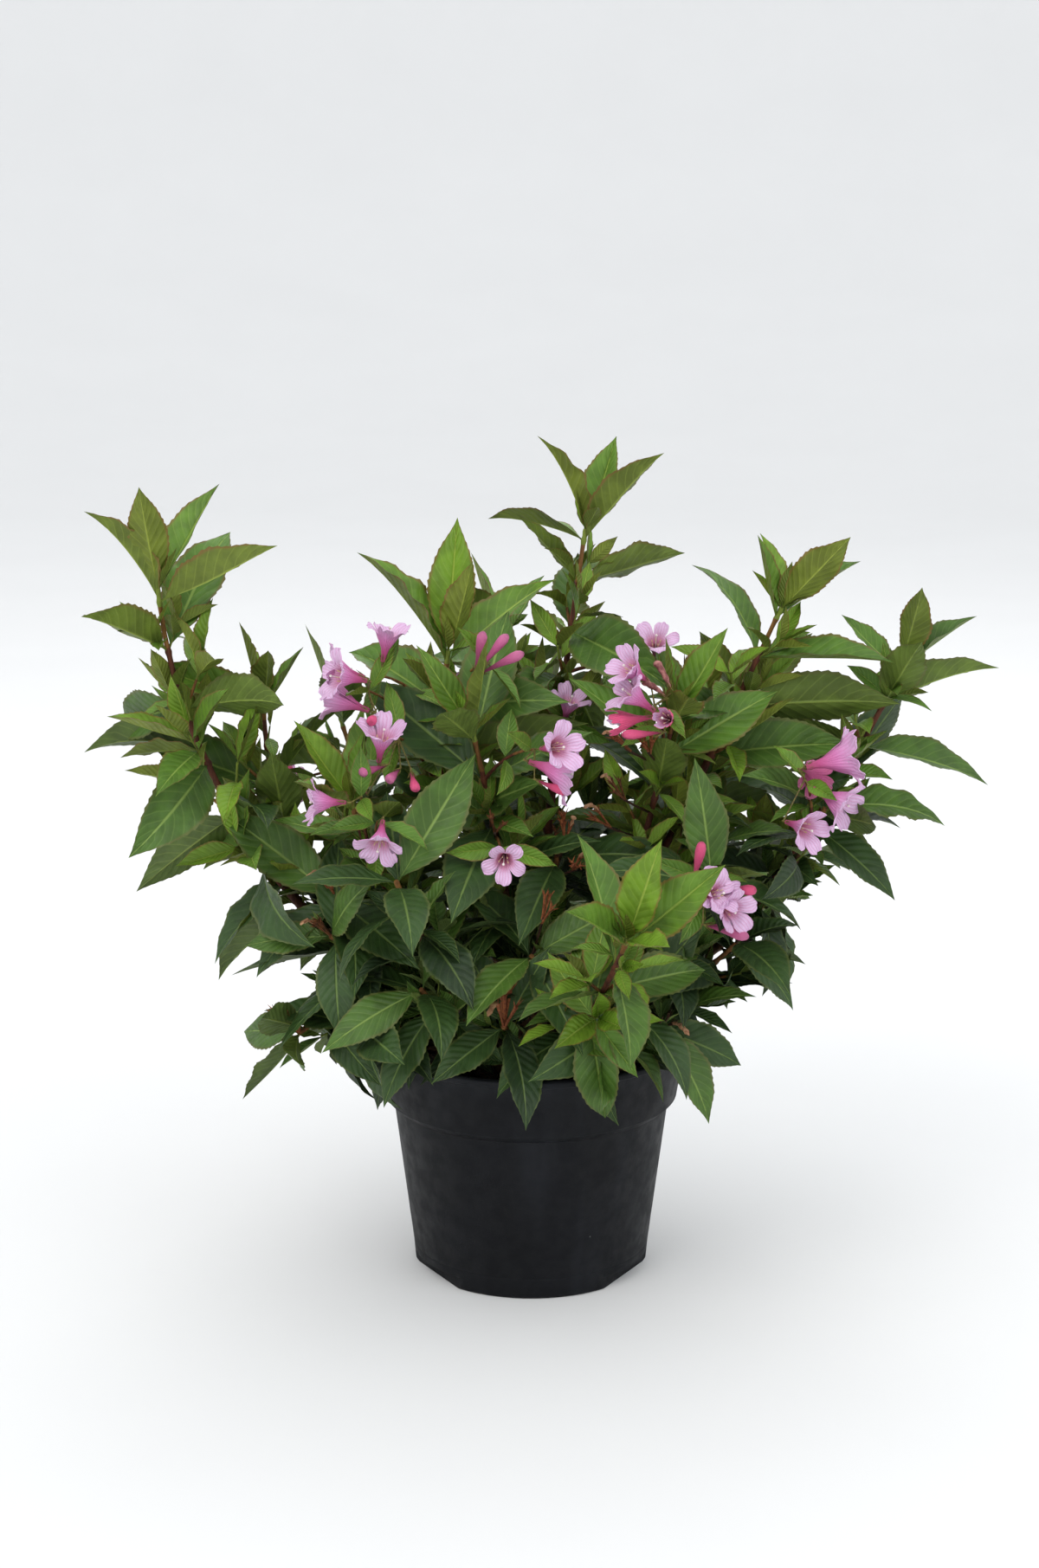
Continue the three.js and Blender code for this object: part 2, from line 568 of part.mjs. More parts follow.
// A funnel for an open bloom, a spindle for a bud.
function bloomSolid({ root, heading, open }) {
  const { sides, sink, length, mouth, recess, bud, budWidth } = BLOOM;
  const funnel = [
    [0, -sink],
    [mouth, length],
    [0, length - recess],
  ].map(([r, z]) => new THREE.Vector2(r, z));
  const geometry = open
    ? new THREE.LatheGeometry(funnel, sides).rotateX(Math.PI / 2)
    : new THREE.OctahedronGeometry(0.5).scale(budWidth, budWidth, bud).translate(0, 0, bud / 2 - sink);
  const turn = new THREE.Quaternion().setFromUnitVectors(UP, heading);
  return solidOf(geometry.applyQuaternion(turn).translate(root.x, root.y, root.z));
}

// ---- Keeping clear

const CLEAR = 2; // of leaves from pot, soil and bare limbs
const LOWEST = POT.height / 4; // that leaves hang beside the pot

function clearOfPot(point) {
  const r = Math.hypot(point.x, point.y);
  if (point.z > POT.height + CLEAR) return true;
  if (r < POT.rimRadius - 3 * POT.wall - CLEAR) return point.z > SOIL_LEVEL + CLEAR;
  return r > POT.rimRadius + CLEAR && point.z > LOWEST;
}

const clearOfLimbs = (point, limbs, own) =>
  limbs.every(({ name, stem, bare }) => {
    const reach = stem.footRadius + CLEAR;
    return name === own || bare.every((p) => p.distanceTo(point) > reach);
  });

function leafClear(leaf, limbs, own) {
  const middle = midrib(leaf, LEAF.widest);
  const across = new THREE.Vector3().crossVectors(leaf.heading, leaf.facing);
  const edges = [-0.5, 0.5].map((side) => middle.clone().addScaledVector(across, side * leaf.width));
  const spots = [...[0.2, 0.45, 0.7, 1].map((share) => midrib(leaf, share)), ...edges];
  return spots.every((spot) => clearOfPot(spot) && clearOfLimbs(spot, limbs, own));
}

// The same leaf raised by some degrees.
function lifted(leaf, degrees) {
  const axis = new THREE.Vector3().crossVectors(leaf.heading, UP).normalize();
  const turn = (v) => v.clone().applyAxisAngle(axis, radians(degrees));
  return { ...leaf, heading: turn(leaf.heading), facing: turn(leaf.facing) };
}

// What is filled so far, each solid with its owner. A new solid must meet nothing that another owns.
class Space {
  filled = [];
  free(owner, solid) {
    const box = solid.boundingBox();
    const apart = ({ min, max }) => [0, 1, 2].some((i) => min[i] > box.max[i] || box.min[i] > max[i]);
    return this.filled.every(
      (f) => f.owner === owner || apart(f.box) || f.solid.intersect(solid).isEmpty(),
    );
  }
  fill(owner, solid) {
    this.filled.push({ owner, solid, box: solid.boundingBox() });
  }
}

// ---- Pot and soil

// The inner face of the pot, from the floor's middle to the top of the collar.
function potInside(inset = 0) {
  const { height, collarRadius, collarFootRadius, collarHeight, stepHeight, bodyRadius, baseRadius } = POT;
  const { wall, floor, notchDepth, notchHeight, rimDepth } = POT;
  const collarFoot = height - collarHeight;
  const footRadius = baseRadius - notchDepth - 2 * wall;
  return [
    [0, floor + inset],
    [footRadius - wall - inset, floor + inset],
    [footRadius - inset, notchHeight + wall + inset],
    [bodyRadius - wall - inset, collarFoot - stepHeight + wall / 2],
    [collarFootRadius - wall - inset, collarFoot + wall / 2],
    [collarRadius - wall - inset, height - rimDepth],
  ];
}

function potGeometry() {
  const { height, rimRadius, rimWidth, lipHeight, lipEdge, collarRadius, collarFootRadius } = POT;
  const { collarHeight, stepHeight, bodyRadius, baseRadius, baseEdge } = POT;
  const { notches, notchDepth, notchHeight } = POT;
  const shell = solidOf(
    turned([
      [0, 0],
      [baseRadius - baseEdge, 0],
      [baseRadius, baseEdge],
      [bodyRadius, height - collarHeight - stepHeight],
      [collarFootRadius, height - collarHeight],
      [collarRadius, height - lipHeight],
      [rimRadius, height - lipHeight + lipEdge],
      [rimRadius, height - lipEdge],
      [rimRadius - lipEdge, height],
      [rimRadius - rimWidth, height],
      ...potInside().reverse(),
    ]),
  );
  // Wide drainage notches in the foot, between the parts of it that the pot stands on.
  const notch = new THREE.BoxGeometry(5 * notchDepth, 1.56 * baseRadius, 2 * notchHeight);
  notch.translate(baseRadius + 1.5 * notchDepth, 0, 0).rotateZ(Math.PI / 2);
  const turns = [...Array(notches).keys()].map((i) => (2 * Math.PI * i) / notches);
  const cuts = turns.map((turn) => solidOf(notch.clone().rotateZ(turn)));
  return geometryOf(cuts.reduce((pot, cut) => pot.subtract(cut), shell));
}

function soilGeometry() {
  const profile = potInside(2 * GAP);
  const [collarRadius, collarTop] = profile.pop();
  const [footRadius, collarFoot] = profile.at(-1);
  const share = (SOIL_LEVEL - collarFoot) / (collarTop - collarFoot);
  const topRadius = THREE.MathUtils.lerp(footRadius, collarRadius, share);
  return geometryOf(solidOf(turned([...profile, [topRadius, SOIL_LEVEL], [0, SOIL_LEVEL]])));
}

// What the pot and its soil fill, a little wider and higher than they are.
function potSpace() {
  const { height, rimRadius, bodyRadius, baseRadius, collarHeight, stepHeight, wall } = POT;
  return solidOf(
    turned([
      [0, -1],
      [baseRadius + 1, -1],
      [bodyRadius + 1, height - collarHeight - stepHeight],
      [rimRadius + 1, height - collarHeight],
      [rimRadius + 1, height + 1],
      [rimRadius - 3 * wall, height + 1],
      [rimRadius - 4 * wall, SOIL_LEVEL + GAP / 2],
      [0, SOIL_LEVEL + GAP / 2],
    ]),
  );
}

// ---- The crown

// A shoot with its stem, the limb that carries it, how far it is bare, and the middle line of its bare part.
function limbOf(shoot, parent) {
  const stem = shootStem(shoot, parent?.stem);
  const bareTo = stem.length * shoot.bare;
  const bare = stem.points.filter((_, i) => stem.reached[i] < bareTo);
  return { name: shoot.name, shoot, parent, stem, bareTo, bare };
}

// Canes from a flat cut at the soil, and boughs that start just clear of the limb that carries them.
function growBoughs(limbs, space) {
  const wide = 2 * POT.rimRadius;
  const ground = solidOf(new THREE.BoxGeometry(wide, wide, SOIL_LEVEL).translate(0, 0, SOIL_LEVEL / 2 + GAP));
  const boughs = new Map();
  for (const limb of limbs.filter(({ bareTo }) => bareTo > 0)) {
    const bough = largest(boughSolid(limb).subtract(limb.parent ? boughSolid(limb.parent, AROUND) : ground));
    boughs.set(limb.name, bough);
    space.fill("bough_" + limb.name, bough);
  }
  return boughs;
}

// The stem that a mass grows from: on from its bough's tip, or from the side of the limb that carries it.
function massStem({ shoot, stem, bareTo, parent }) {
  const betweenLeaves = radians(shoot.phase + 45);
  const from = bareTo > 0 ? bareTo + GAP : 0;
  const whole = limbSolid(stem, from, stem.length, STEM, undefined, betweenLeaves);
  return bareTo > 0 ? whole : largest(whole.subtract(boughSolid(parent, AROUND)));
}

// Grows every mass into the space left to it: blossom first, then twigs and leaves, shortest shoot first.
function growMasses(limbs, space) {
  const parts = new Map(limbs.map((limb) => [limb.name, [massStem(limb)]]));
  for (const [name, [stem]] of parts) space.fill(name, stem);
  const keep = (name, solid) => {
    const free = space.free(name, solid);
    if (free) {
      parts.get(name).push(solid);
      space.fill(name, solid);
    }
    return free;
  };
  for (const blossom of BLOSSOM) {
    const { twig, blooms } = cluster(blossom, limbs.find(({ name }) => name === blossom.on).stem);
    if (keep(blossom.on, limbSolid(twig, 0, twig.length, TWIG))) {
      blooms.forEach((bloom) => keep(blossom.on, bloomSolid(bloom)));
    }
  }
  for (const { name, shoot, stem } of [...limbs].sort((a, b) => a.stem.length - b.stem.length)) {
    const clear = (point) => clearOfPot(point) && clearOfLimbs(point, limbs, name);
    const fits = (leaf) => leafClear(leaf, limbs, name) && space.free(name, leafSolid(leaf, GAP));
    const { leaves, twigs } = growth(shoot, stem);
    const kept = twigs.filter(
      ({ twig }) => twig.points.every(clear) && keep(name, limbSolid(twig, 0, twig.length, TWIG)),
    );
    for (const leaf of [...leaves, ...kept.flatMap((twig) => twig.leaves)]) {
      const placed = LEAF.lifts.map((degrees) => lifted(leaf, degrees)).find(fits);
      if (placed) keep(name, leafSolid(placed));
    }
  }
  return new Map([...parts].map(([name, solids]) => [name, largest(wasm.Manifold.union(solids))]));
}

// ---- The scene graph

function namedMesh(name, geometry, finish) {
  const mesh = new THREE.Mesh(geometry, new THREE.MeshStandardMaterial({ metalness: 0, ...finish }));
  mesh.name = name;
  return mesh;
}

function buildCrown() {
  const limbs = [];
  for (const [age, shoots] of Object.entries({ young: YOUNG, grown: GROWN, spent: SPENT })) {
    for (const [name, own] of Object.entries(shoots)) {
      const shoot = { name, age, leaf: AGES[age].leaf, ...USUAL, ...own };
      limbs.push(limbOf(shoot, limbs.find((limb) => limb.name === shoot.from)));
    }
  }
  const space = new Space();
  space.fill("pot", potSpace());
  const boughs = growBoughs(limbs, space);
  const masses = growMasses(limbs, space);
  const crown = new THREE.Group();
  for (const { name, shoot, bareTo } of limbs) {
    const kind = shoot.from ? "bough_" : "cane_";
    if (bareTo > 0) crown.add(namedMesh(kind + name, geometryOf(boughs.get(name)), BARK));
    const finish = { color: AGES[shoot.age].color, roughness: LEAF_ROUGHNESS };
    crown.add(namedMesh("mass_" + name, geometryOf(masses.get(name)), finish));
  }
  return crown;
}

const weigela = new THREE.Group();
weigela.add(namedMesh("pot", potGeometry(), PLASTIC));
weigela.add(namedMesh("soil", soilGeometry(), SOIL));
weigela.add(buildCrown());

export default weigela;
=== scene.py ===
import math
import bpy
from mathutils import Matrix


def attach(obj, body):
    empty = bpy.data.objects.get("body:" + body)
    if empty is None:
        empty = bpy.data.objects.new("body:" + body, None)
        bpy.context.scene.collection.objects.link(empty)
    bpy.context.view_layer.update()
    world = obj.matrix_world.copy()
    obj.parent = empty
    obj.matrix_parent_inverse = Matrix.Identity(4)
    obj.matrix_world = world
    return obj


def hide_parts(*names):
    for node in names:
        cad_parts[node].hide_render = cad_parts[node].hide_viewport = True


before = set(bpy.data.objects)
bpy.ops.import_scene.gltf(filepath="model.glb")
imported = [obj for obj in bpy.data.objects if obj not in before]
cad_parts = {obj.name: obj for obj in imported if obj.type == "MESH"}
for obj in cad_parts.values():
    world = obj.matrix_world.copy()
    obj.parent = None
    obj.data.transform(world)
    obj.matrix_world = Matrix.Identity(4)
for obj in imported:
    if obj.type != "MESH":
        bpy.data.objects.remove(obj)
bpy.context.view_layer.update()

from types import SimpleNamespace as Record

import bpy
import numpy as np
from mathutils import Quaternion, Vector, noise
from mathutils.bvhtree import BVHTree

MM = 0.001


# ---- Camera and light

CAMERA = Record(place=(-0.0095, -2.290, 0.920), degrees_down=12.7, sensor=36, focal_pixels=3360, frame_pixels=1811)
SKY = Record(colour=(0.92, 0.94, 0.96, 1), strength=1.12)

camera = bpy.data.objects.new("camera", bpy.data.cameras.new("camera"))
bpy.context.scene.collection.objects.link(camera)
bpy.context.scene.camera = camera
camera.location = CAMERA.place
camera.rotation_euler = (math.radians(90 - CAMERA.degrees_down), 0, 0)
camera.data.lens = CAMERA.sensor * CAMERA.focal_pixels / CAMERA.frame_pixels
camera.data.clip_end = 100


def soft_light(name, place, aim, size, watts, tint=(1, 1, 1)):
    lamp = bpy.data.lights.new(name, "AREA")
    lamp.shape, lamp.size, lamp.energy, lamp.color = "DISK", size, watts, tint
    light = bpy.data.objects.new(name, lamp)
    light.location = place
    light.rotation_euler = (Vector(aim) - Vector(place)).to_track_quat("-Z", "Y").to_euler()
    bpy.context.scene.collection.objects.link(light)


soft_light("key_light", place=(-1.5, -2.3, 2.9), aim=(0, 0, 0.35), size=2.2, watts=36, tint=(1, 0.98, 0.95))
soft_light("fill_light", place=(2.4, -1.9, 1.9), aim=(0, 0, 0.35), size=2.4, watts=17, tint=(0.95, 0.98, 1))
soft_light("back_light", place=(0.4, 2.2, 2.6), aim=(0, 0, 0.4), size=2.2, watts=21)

world = bpy.data.worlds.new("studio")
world.use_nodes = True
backdrop = world.node_tree.nodes["Background"]
backdrop.inputs["Color"].default_value = SKY.colour
backdrop.inputs["Strength"].default_value = SKY.strength
bpy.context.scene.world = world
bpy.context.scene.view_settings.view_transform = "Standard"


# ---- Sizes of the plant, in millimetres, and its shoots

SOIL_LEVEL = 172
CANE = Record(radius=2.2, thickening=0.0066, flare=0.5, flare_height=9)
STEM = Record(tip_radius=1.5, fork=0.8, leafless=0.2)
TWIG = Record(radius=1.5, tip_radius=0.9, arch=0.2)
CURVE_STEPS = 40

LEAF = Record(length=108, width=0.43, widest=0.44, root=0.3, lifts=(0, 16, 32, 48, -14))
# Pair by pair from the tip: way from the pair above, length, angle from the stem, bend, turn of the face skyward.
PAIRS = [
    (2, 0.82, 14, 12, 0.0),
    (8, 0.94, 34, 26, 0.1),
    (36, 1.0, 56, 44, 0.3),
    (43, 1.0, 66, 58, 0.5),
    (43, 0.94, 72, 66, 0.6),
    (43, 0.88, 76, 72, 0.7),
]
JITTER = Record(azimuth=24, roll=70, spread=0.3, droop=0.6, length=0.28, vigour=0.5)
AGES = {
    "young": Record(leaf=1, closer=1, first_pair=0),
    "grown": Record(leaf=0.9, closer=1, first_pair=0),
    "spent": Record(leaf=0.82, closer=0.72, first_pair=2),
}
SIDE_TWIG = Record(
    first_pair=3, chance=0.16, length=30, growth=8, longest=58, spread=42, rise=0.18, leaf=0.5, second_pair=0.4
)
BLOOM = Record(length=36, fan=34, bud=26, first=0.25)

# name: (foot on the soil, or shoot and share of its length; tip; out, up; bare share; phase; seed; leaf or None)
SHOOTS = {
    "young": {
        "left_leader": ((-38, -8), (-293, -32, 568), 0.93, 0.43, 0.38, 35, 84, 1.11),
        "centre_left_leader": ((-24, -14), (-66, -16, 516), 1.58, 0.43, 0.36, 165, 10, 1.05),
        "tall_leader": ((4, 14), (44, 50, 604), 0.1, 0.47, 0.38, 75, 29, 0.94),
        "right_leader": ((24, 4), (198, -12, 550), 0.44, 0.42, 0.36, 135, 83, None),
        "far_right_leader": ((44, 14), (296, -8, 506), 0.67, 0.38, 0.38, 15, 75, 0.87),
        "front_leader": ((16, -38), (70, -228, 338), 0.5, 0.39, 0.3, 85, 61, 0.94),
        "back_leader": ((-4, 36), (-24, 180, 498), 0.56, 0.39, 0.38, 30, 83, None),
        "left_inner": (("left_leader", 0.24), (-214, -8, 476), 1, 0.4, 0.2, 150, 43, 0.84),
        "left_centre": (("centre_left_leader", 0.2), (-140, -88, 410), 0.8, 0.47, 0.2, 135, 71, 0.8),
        "right_centre": (("right_leader", 0.2), (112, -58, 474), 0.6, 0.5, 0.2, 35, 13, 0.84),
    },
    "grown": {
        "centre": ((-2, -24), (-46, -80, 464), 0.32, 0.53, 0.3, 165, 92, 0.95),
        "back_left": ((-30, 22), (-162, 136, 432), 0.62, 0.39, 0.36, 25, 57, 0.95),
        "back_right": ((28, 28), (178, 138, 452), 0.64, 0.51, 0.36, 90, 50, 0.95),
    },
    "spent": {
        "front_centre": ((-6, -54), (-22, -124, 238), 0.45, 0.8, 0.3, 150, 86, 0.77),
        "front_right_low": ((37, -50), (60, -112, 233), 0.45, 0.9, 0.3, 120, 87, None),
        "low_left": ((-48, -24), (-186, -78, 218), 0.63, 1.75, 0.4, 15, 62, None),
        "right_mid": ((58, -10), (162, -76, 292), 0.6, 0.6, 0.34, 0, 70, 0.77),
        "right_front": ((53, -32), (140, -104, 348), 0.56, 0.44, 0.3, 120, 14, 0.86),
        "centre_front": ((-22, -42), (-104, -134, 358), 0.62, 0.5, 0.3, 120, 83, 0.86),
        "back_low": ((10, 52), (12, 206, 262), 0.56, 0.94, 0.36, 90, 40, None),
        "left_mid": (("low_left", 0.3), (-158, -90, 302), 0.35, 0.66, 0, 135, 42, 0.77),
        "left_low": (("left_leader", 0.15), (-132, -70, 272), 0.68, 0.55, 0, 120, 75, 0.86),
        "left_inside": (("left_leader", 0.27), (-154, -68, 326), 0.5, 0.63, 0, 45, 10, 0.86),
        "rim_left": (("low_left", 0.18), (-134, -106, 230), 0.5, 0.96, 0, 0, 32, 0.77),
        "front_left": (("centre_front", 0.16), (-86, -122, 268), 0.54, 0.4, 0, 105, 41, None),
        "front_middle": (("centre", 0.24), (0, -112, 292), 0.68, 0.56, 0, 150, 92, None),
        "front_right": (("right_front", 0.2), (78, -120, 250), 0.58, 0.69, 0, 135, 85, None),
        "right_low": (("right_mid", 0.24), (102, -108, 232), 0.59, 0.82, 0, 50, 8, 0.86),
        "right_inside": (("right_leader", 0.16), (144, -22, 358), 0.79, 0.34, 0, 120, 21, None),
        "right_inner": (("far_right_leader", 0.26), (232, -50, 396), 0.7, 0.45, 0, 35, 43, None),
        "middle": (("tall_leader", 0.24), (20, -50, 356), 0.66, 0.4, 0, 30, 36, 0.86),
        "back_middle": (("tall_leader", 0.27), (62, 112, 372), 0.64, 0.48, 0, 165, 66, 0.77),
        "back_left_low": (("back_left", 0.24), (-160, 152, 276), 0.6, 0.83, 0, 70, 65, 0.86),
        "back_rim_left": (("back_low", 0.2), (-86, 166, 244), 0.6, 0.96, 0, 75, 5, None),
        "back_rim_right": (("back_low", 0.3), (122, 146, 236), 0.6, 0.7, 0, 45, 7, None),
        "back_right_low": (("back_right", 0.24), (198, 134, 294), 0.57, 0.64, 0, 45, 74, None),
    },
}

# Leaves that stand out. Shoot: number of the leaf from the tip down: azimuth round the stem, angle from it, roll and
# bend in degrees, and length.
LEAVES = {
    "left_leader": {
        0: (47, 5, 49, 31, 92), 1: (234, 31, 11, 29, 105), 2: (138, 9, 74, 58, 97), 3: (291, 60, -35, 20, 116),
        4: (237, 33, 35, 56, 136), 5: (45, 41, 30, 44, 113), 6: (282, 86, -72, 59, 107), 7: (122, 85, -75, 57, 111),
        8: (10, 93, -55, 87, 117), 9: (170, 54, 73, 99, 121), 10: (136, 96, 64, 74, 112), 13: (30, 99, 58, 80, 117),
        15: (134, 75, 17, 50, 124),
    },
    "centre_left_leader": {
        0: (161, 11, -21, 15, 109), 2: (242, 37, 8, 37, 121), 3: (76, 19, -30, 54, 117), 4: (326, 66, 63, 52, 119),
        5: (127, 53, -24, 53, 123), 6: (74, 76, -2, 71, 119), 7: (264, 65, -63, 28, 124), 8: (143, 46, -29, 31, 106),
        9: (334, 60, 74, 27, 133),
    },
    "tall_leader": {
        1: (274, 12, -13, 56, 93), 2: (168, 21, -9, 39, 104), 3: (344, 61, 7, 51, 95), 4: (304, 38, 29, 32, 78),
        5: (87, 66, -51, 20, 114), 6: (22, 27, -44, 51, 102), 7: (205, 93, 50, 54, 138), 8: (47, 86, -26, 84, 121),
    },
    "right_leader": {
        0: (147, 24, -31, 14, 93), 1: (305, 30, -11, 40, 69), 2: (237, 31, -53, 22, 72), 3: (33, 30, -17, 36, 94),
        4: (289, 31, -7, 70, 103), 5: (119, 48, 26, 38, 114), 6: (70, 58, -75, 41, 134), 8: (118, 50, 69, 46, 115),
        11: (35, 60, -35, 81, 106),
    },
    "far_right_leader": {
        1: (198, 18, -7, 24, 77), 2: (94, 14, 29, 40, 77), 3: (283, 64, -26, 17, 65), 4: (178, 37, -12, 25, 101),
        5: (39, 35, -72, 58, 103), 7: (93, 58, 24, 46, 111), 8: (3, 32, -10, 24, 111), 10: (117, 80, 32, 47, 92),
        12: (190, 72, 58, 81, 57), 13: (14, 63, -27, 63, 84), 15: (112, 87, -23, 65, 84),
    },
    "front_leader": {
        1: (276, 15, -40, 22, 92), 2: (172, 23, -14, 36, 100), 6: (352, 67, 32, 61, 96), 7: (174, 60, 35, 35, 92),
        8: (100, 81, 17, 100, 93),
    },
    "left_inner": {
        0: (134, 10, 57, 20, 66), 1: (348, 23, 19, 27, 64), 2: (250, 24, 2, 23, 59), 3: (67, 57, -61, 37, 99),
        6: (72, 51, -70, 46, 116), 8: (134, 78, 47, 75, 90), 9: (335, 40, 0, 9, 104), 11: (56, 83, -4, 54, 105),
    },
    "left_centre": {
        0: (125, 14, -49, 20, 80), 2: (243, 33, -24, 10, 87), 3: (64, 31, -21, 25, 81), 4: (321, 44, -68, 44, 72),
    },
    "right_centre": {
        4: (236, 51, -22, 30, 99), 5: (30, 45, 53, 36, 108), 6: (306, 35, 12, 62, 82),
    },
    "centre": {
        0: (174, 16, -7, 17, 82), 2: (263, 41, 20, 35, 120), 4: (340, 59, 19, 19, 104), 5: (170, 41, -37, 17, 128),
    },
    "front_centre": {
        0: (139, 51, 2, 34, 74), 2: (247, 67, 3, 45, 84), 3: (45, 53, -32, 63, 92), 6: (66, 50, 60, 51, 52),
    },
    "front_right_low": {
        0: (115, 43, -43, 14, 89), 5: (117, 71, 57, 55, 83), 6: (25, 59, 11, 64, 87),
    },
    "low_left": {
        0: (358, 50, 36, 54, 78), 1: (190, 62, 38, 30, 87), 2: (140, 42, 46, 9, 87), 4: (178, 86, -7, 68, 104),
        5: (15, 85, 4, 84, 75),
    },
    "right_mid": {
        1: (160, 39, 39, 65, 101), 5: (358, 68, -49, 59, 91), 7: (68, 40, 17, 8, 78), 10: (72, 77, 63, 89, 76),
    },
    "right_front": {
        3: (28, 63, 5, 61, 97),
    },
    "centre_front": {
        1: (290, 51, 56, 25, 118),
    },
    "left_mid": {
        5: (147, 61, 14, 30, 106),
    },
    "left_inside": {
        1: (207, 55, -15, 25, 121), 7: (163, 64, -4, 66, 85),
    },
    "front_left": {
        8: (124, 67, -50, 58, 82),
    },
    "front_right": {
        0: (140, 58, -28, 43, 105),
    },
    "right_low": {
        3: (304, 60, -62, 63, 88),
    },
    "right_inside": {
        1: (299, 30, -52, 58, 114),
    },
    "right_inner": {
        0: (61, 45, 16, 72, 107), 2: (111, 52, -72, 40, 83), 3: (326, 54, -3, 45, 102), 7: (148, 63, -56, 92, 75),
        8: (21, 80, 43, 86, 65), 15: (118, 64, -63, 91, 76),
    },
}

# shoot, way down from its tip, end of the twig, direction, open blooms, buds
BLOSSOM = [
    ("centre_left_leader", 96, (-127, -75, 495), (-0.85, -0.45, 0.3), 3, 0),
    ("centre_left_leader", 60, (-118, -60, 504), (0.25, -0.2, 1), 1, 0),
    ("centre_left_leader", 44, (-33, -71, 516), (0.6, -0.3, 0.75), 0, 3),
    ("centre_left_leader", 118, (-104, -75, 458), (0.1, -0.75, 0.5), 1, 2),
    ("left_centre", 58, (-131, -116, 420), (-0.9, -0.3, -0.1), 1, 0),
    ("left_centre", 80, (-118, -130, 404), (0, -0.7, -0.7), 1, 0),
    ("centre", 96, (-24, -108, 377), (0, -0.95, -0.3), 1, 0),
    ("centre", 44, (2, -110, 456), (0.75, -0.6, 0.1), 2, 1),
    ("right_centre", 40, (94, -104, 489), (-0.8, -0.5, 0.1), 3, 1),
    ("tall_leader", 118, (94, 11, 493), (0.1, -0.25, 1), 1, 0),
    ("tall_leader", 150, (28, -5, 456), (0.1, -0.5, 0.8), 1, 0),
    ("right_inner", 30, (212, -86, 427), (0.85, -0.35, -0.05), 3, 0),
    ("right_front", 36, (132, -142, 360), (0.55, -0.75, 0.3), 2, 2),
    ("back_leader", 62, (-66, 176, 440), (-0.5, 0.7, 0.3), 2, 1),
    ("back_leader", 108, (0, 176, 400), (0.4, 0.8, 0.1), 2, 1),
    ("back_right", 46, (186, 150, 400), (0.6, 0.6, 0.2), 2, 1),
    ("back_left", 50, (-196, 134, 376), (-0.7, 0.5, 0.1), 2, 1),
]

# The blossom that stands out, one by one: row of BLOSSOM, kind, root, direction, length.
BLOOMS = [
    (0, "open", (-126, -88, 507), (-0.95, -0.09, 0.31), 36),
    (0, "open", (-124, -96, 506), (-0.85, -0.46, 0.25), 38),
    (0, "open", (-122, -88, 480), (-0.92, 0.08, 0.37), 40),
    (0, "coral", (-119, -96, 480), (-0.17, -0.99, -0.02), 20),
    (1, "open", (-116, -70, 514), (0.19, -0.05, 0.98), 33),
    (2, "dusky", (-44, -78, 508), (0.16, -0.20, 0.97), 38),
    (2, "dusky", (-43, -80, 509), (0.57, -0.12, 0.81), 40),
    (2, "dusky", (-42, -84, 509), (0.82, -0.32, 0.48), 40),
    (3, "open", (-118, -104, 442), (0.13, -0.37, 0.92), 36),
    (3, "dusky", (-110, -104, 443), (-0.79, -0.58, -0.18), 26),
    (3, "dusky", (-101, -104, 440), (-0.39, -0.89, -0.26), 24),
    (3, "coral", (-93, -104, 439), (0.14, -0.77, -0.62), 24),
    (4, "open", (-139, -128, 418), (-0.98, -0.19, 0.09), 33),
    (5, "open", (-113, -138, 409), (-0.09, -0.74, -0.66), 34),
    (6, "open", (-21, -118, 378), (0.00, -0.99, -0.12), 30),
    (7, "open", (5, -124, 459), (0.60, -0.77, 0.24), 36),
    (7, "open", (-6, -116, 449), (0.95, -0.07, -0.31), 42),
    (7, "coral", (2, -112, 433), (0.82, -0.49, -0.30), 30),
    (8, "open", (96, -112, 484), (-0.77, -0.17, 0.62), 38),
    (8, "half", (96, -108, 481), (-0.99, -0.03, -0.11), 38),
    (8, "coral", (102, -112, 470), (-0.88, -0.47, -0.01), 36),
    (8, "half", (108, -112, 478), (-0.33, -0.89, 0.31), 30),
    (8, "open", (91, -98, 505), (-0.68, -0.46, 0.57), 34),
    (8, "withered", (104, -96, 493), (-0.66, -0.19, 0.72), 28),
    (8, "withered", (108, -92, 497), (-0.38, 0.20, 0.90), 32),
    (3, "withered", (-127, -100, 418), (-0.37, -0.56, 0.74), 20),
    (9, "withered", (122, -6, 500), (0.34, 0.21, 0.92), 20),
    (9, "open", (99, -2, 504), (-0.03, -0.57, 0.82), 32),
    (10, "open", (25, -12, 455), (0.24, -0.35, 0.90), 30),
    (11, "open", (208, -92, 437), (0.97, 0.05, 0.24), 44),
    (11, "open", (215, -92, 423), (0.82, -0.42, -0.39), 38),
    (11, "open", (195, -96, 396), (0.63, -0.78, -0.02), 36),
    (11, "faded", (207, -84, 435), (0.57, 0.69, -0.45), 30),
    (12, "coral", (121, -150, 356), (0.24, -0.05, 0.97), 38),
    (12, "open", (124, -152, 350), (0.38, -0.79, 0.47), 32),
    (12, "open", (127, -156, 349), (0.56, -0.73, 0.39), 34),
    (12, "coral", (142, -150, 356), (0.85, -0.51, 0.10), 34),
    (12, "open", (137, -148, 346), (0.54, -0.84, -0.04), 34),
    (12, "dusky", (130, -154, 329), (0.88, -0.46, -0.14), 36),
    (12, "dusky", (130, -150, 328), (0.85, -0.52, 0.04), 34),
]


# ---- Seeded chance and stems

UP = Vector((0, 0, 1))
WORD, STRIDE = 0xFFFFFFFF, 0x6D2B79F5


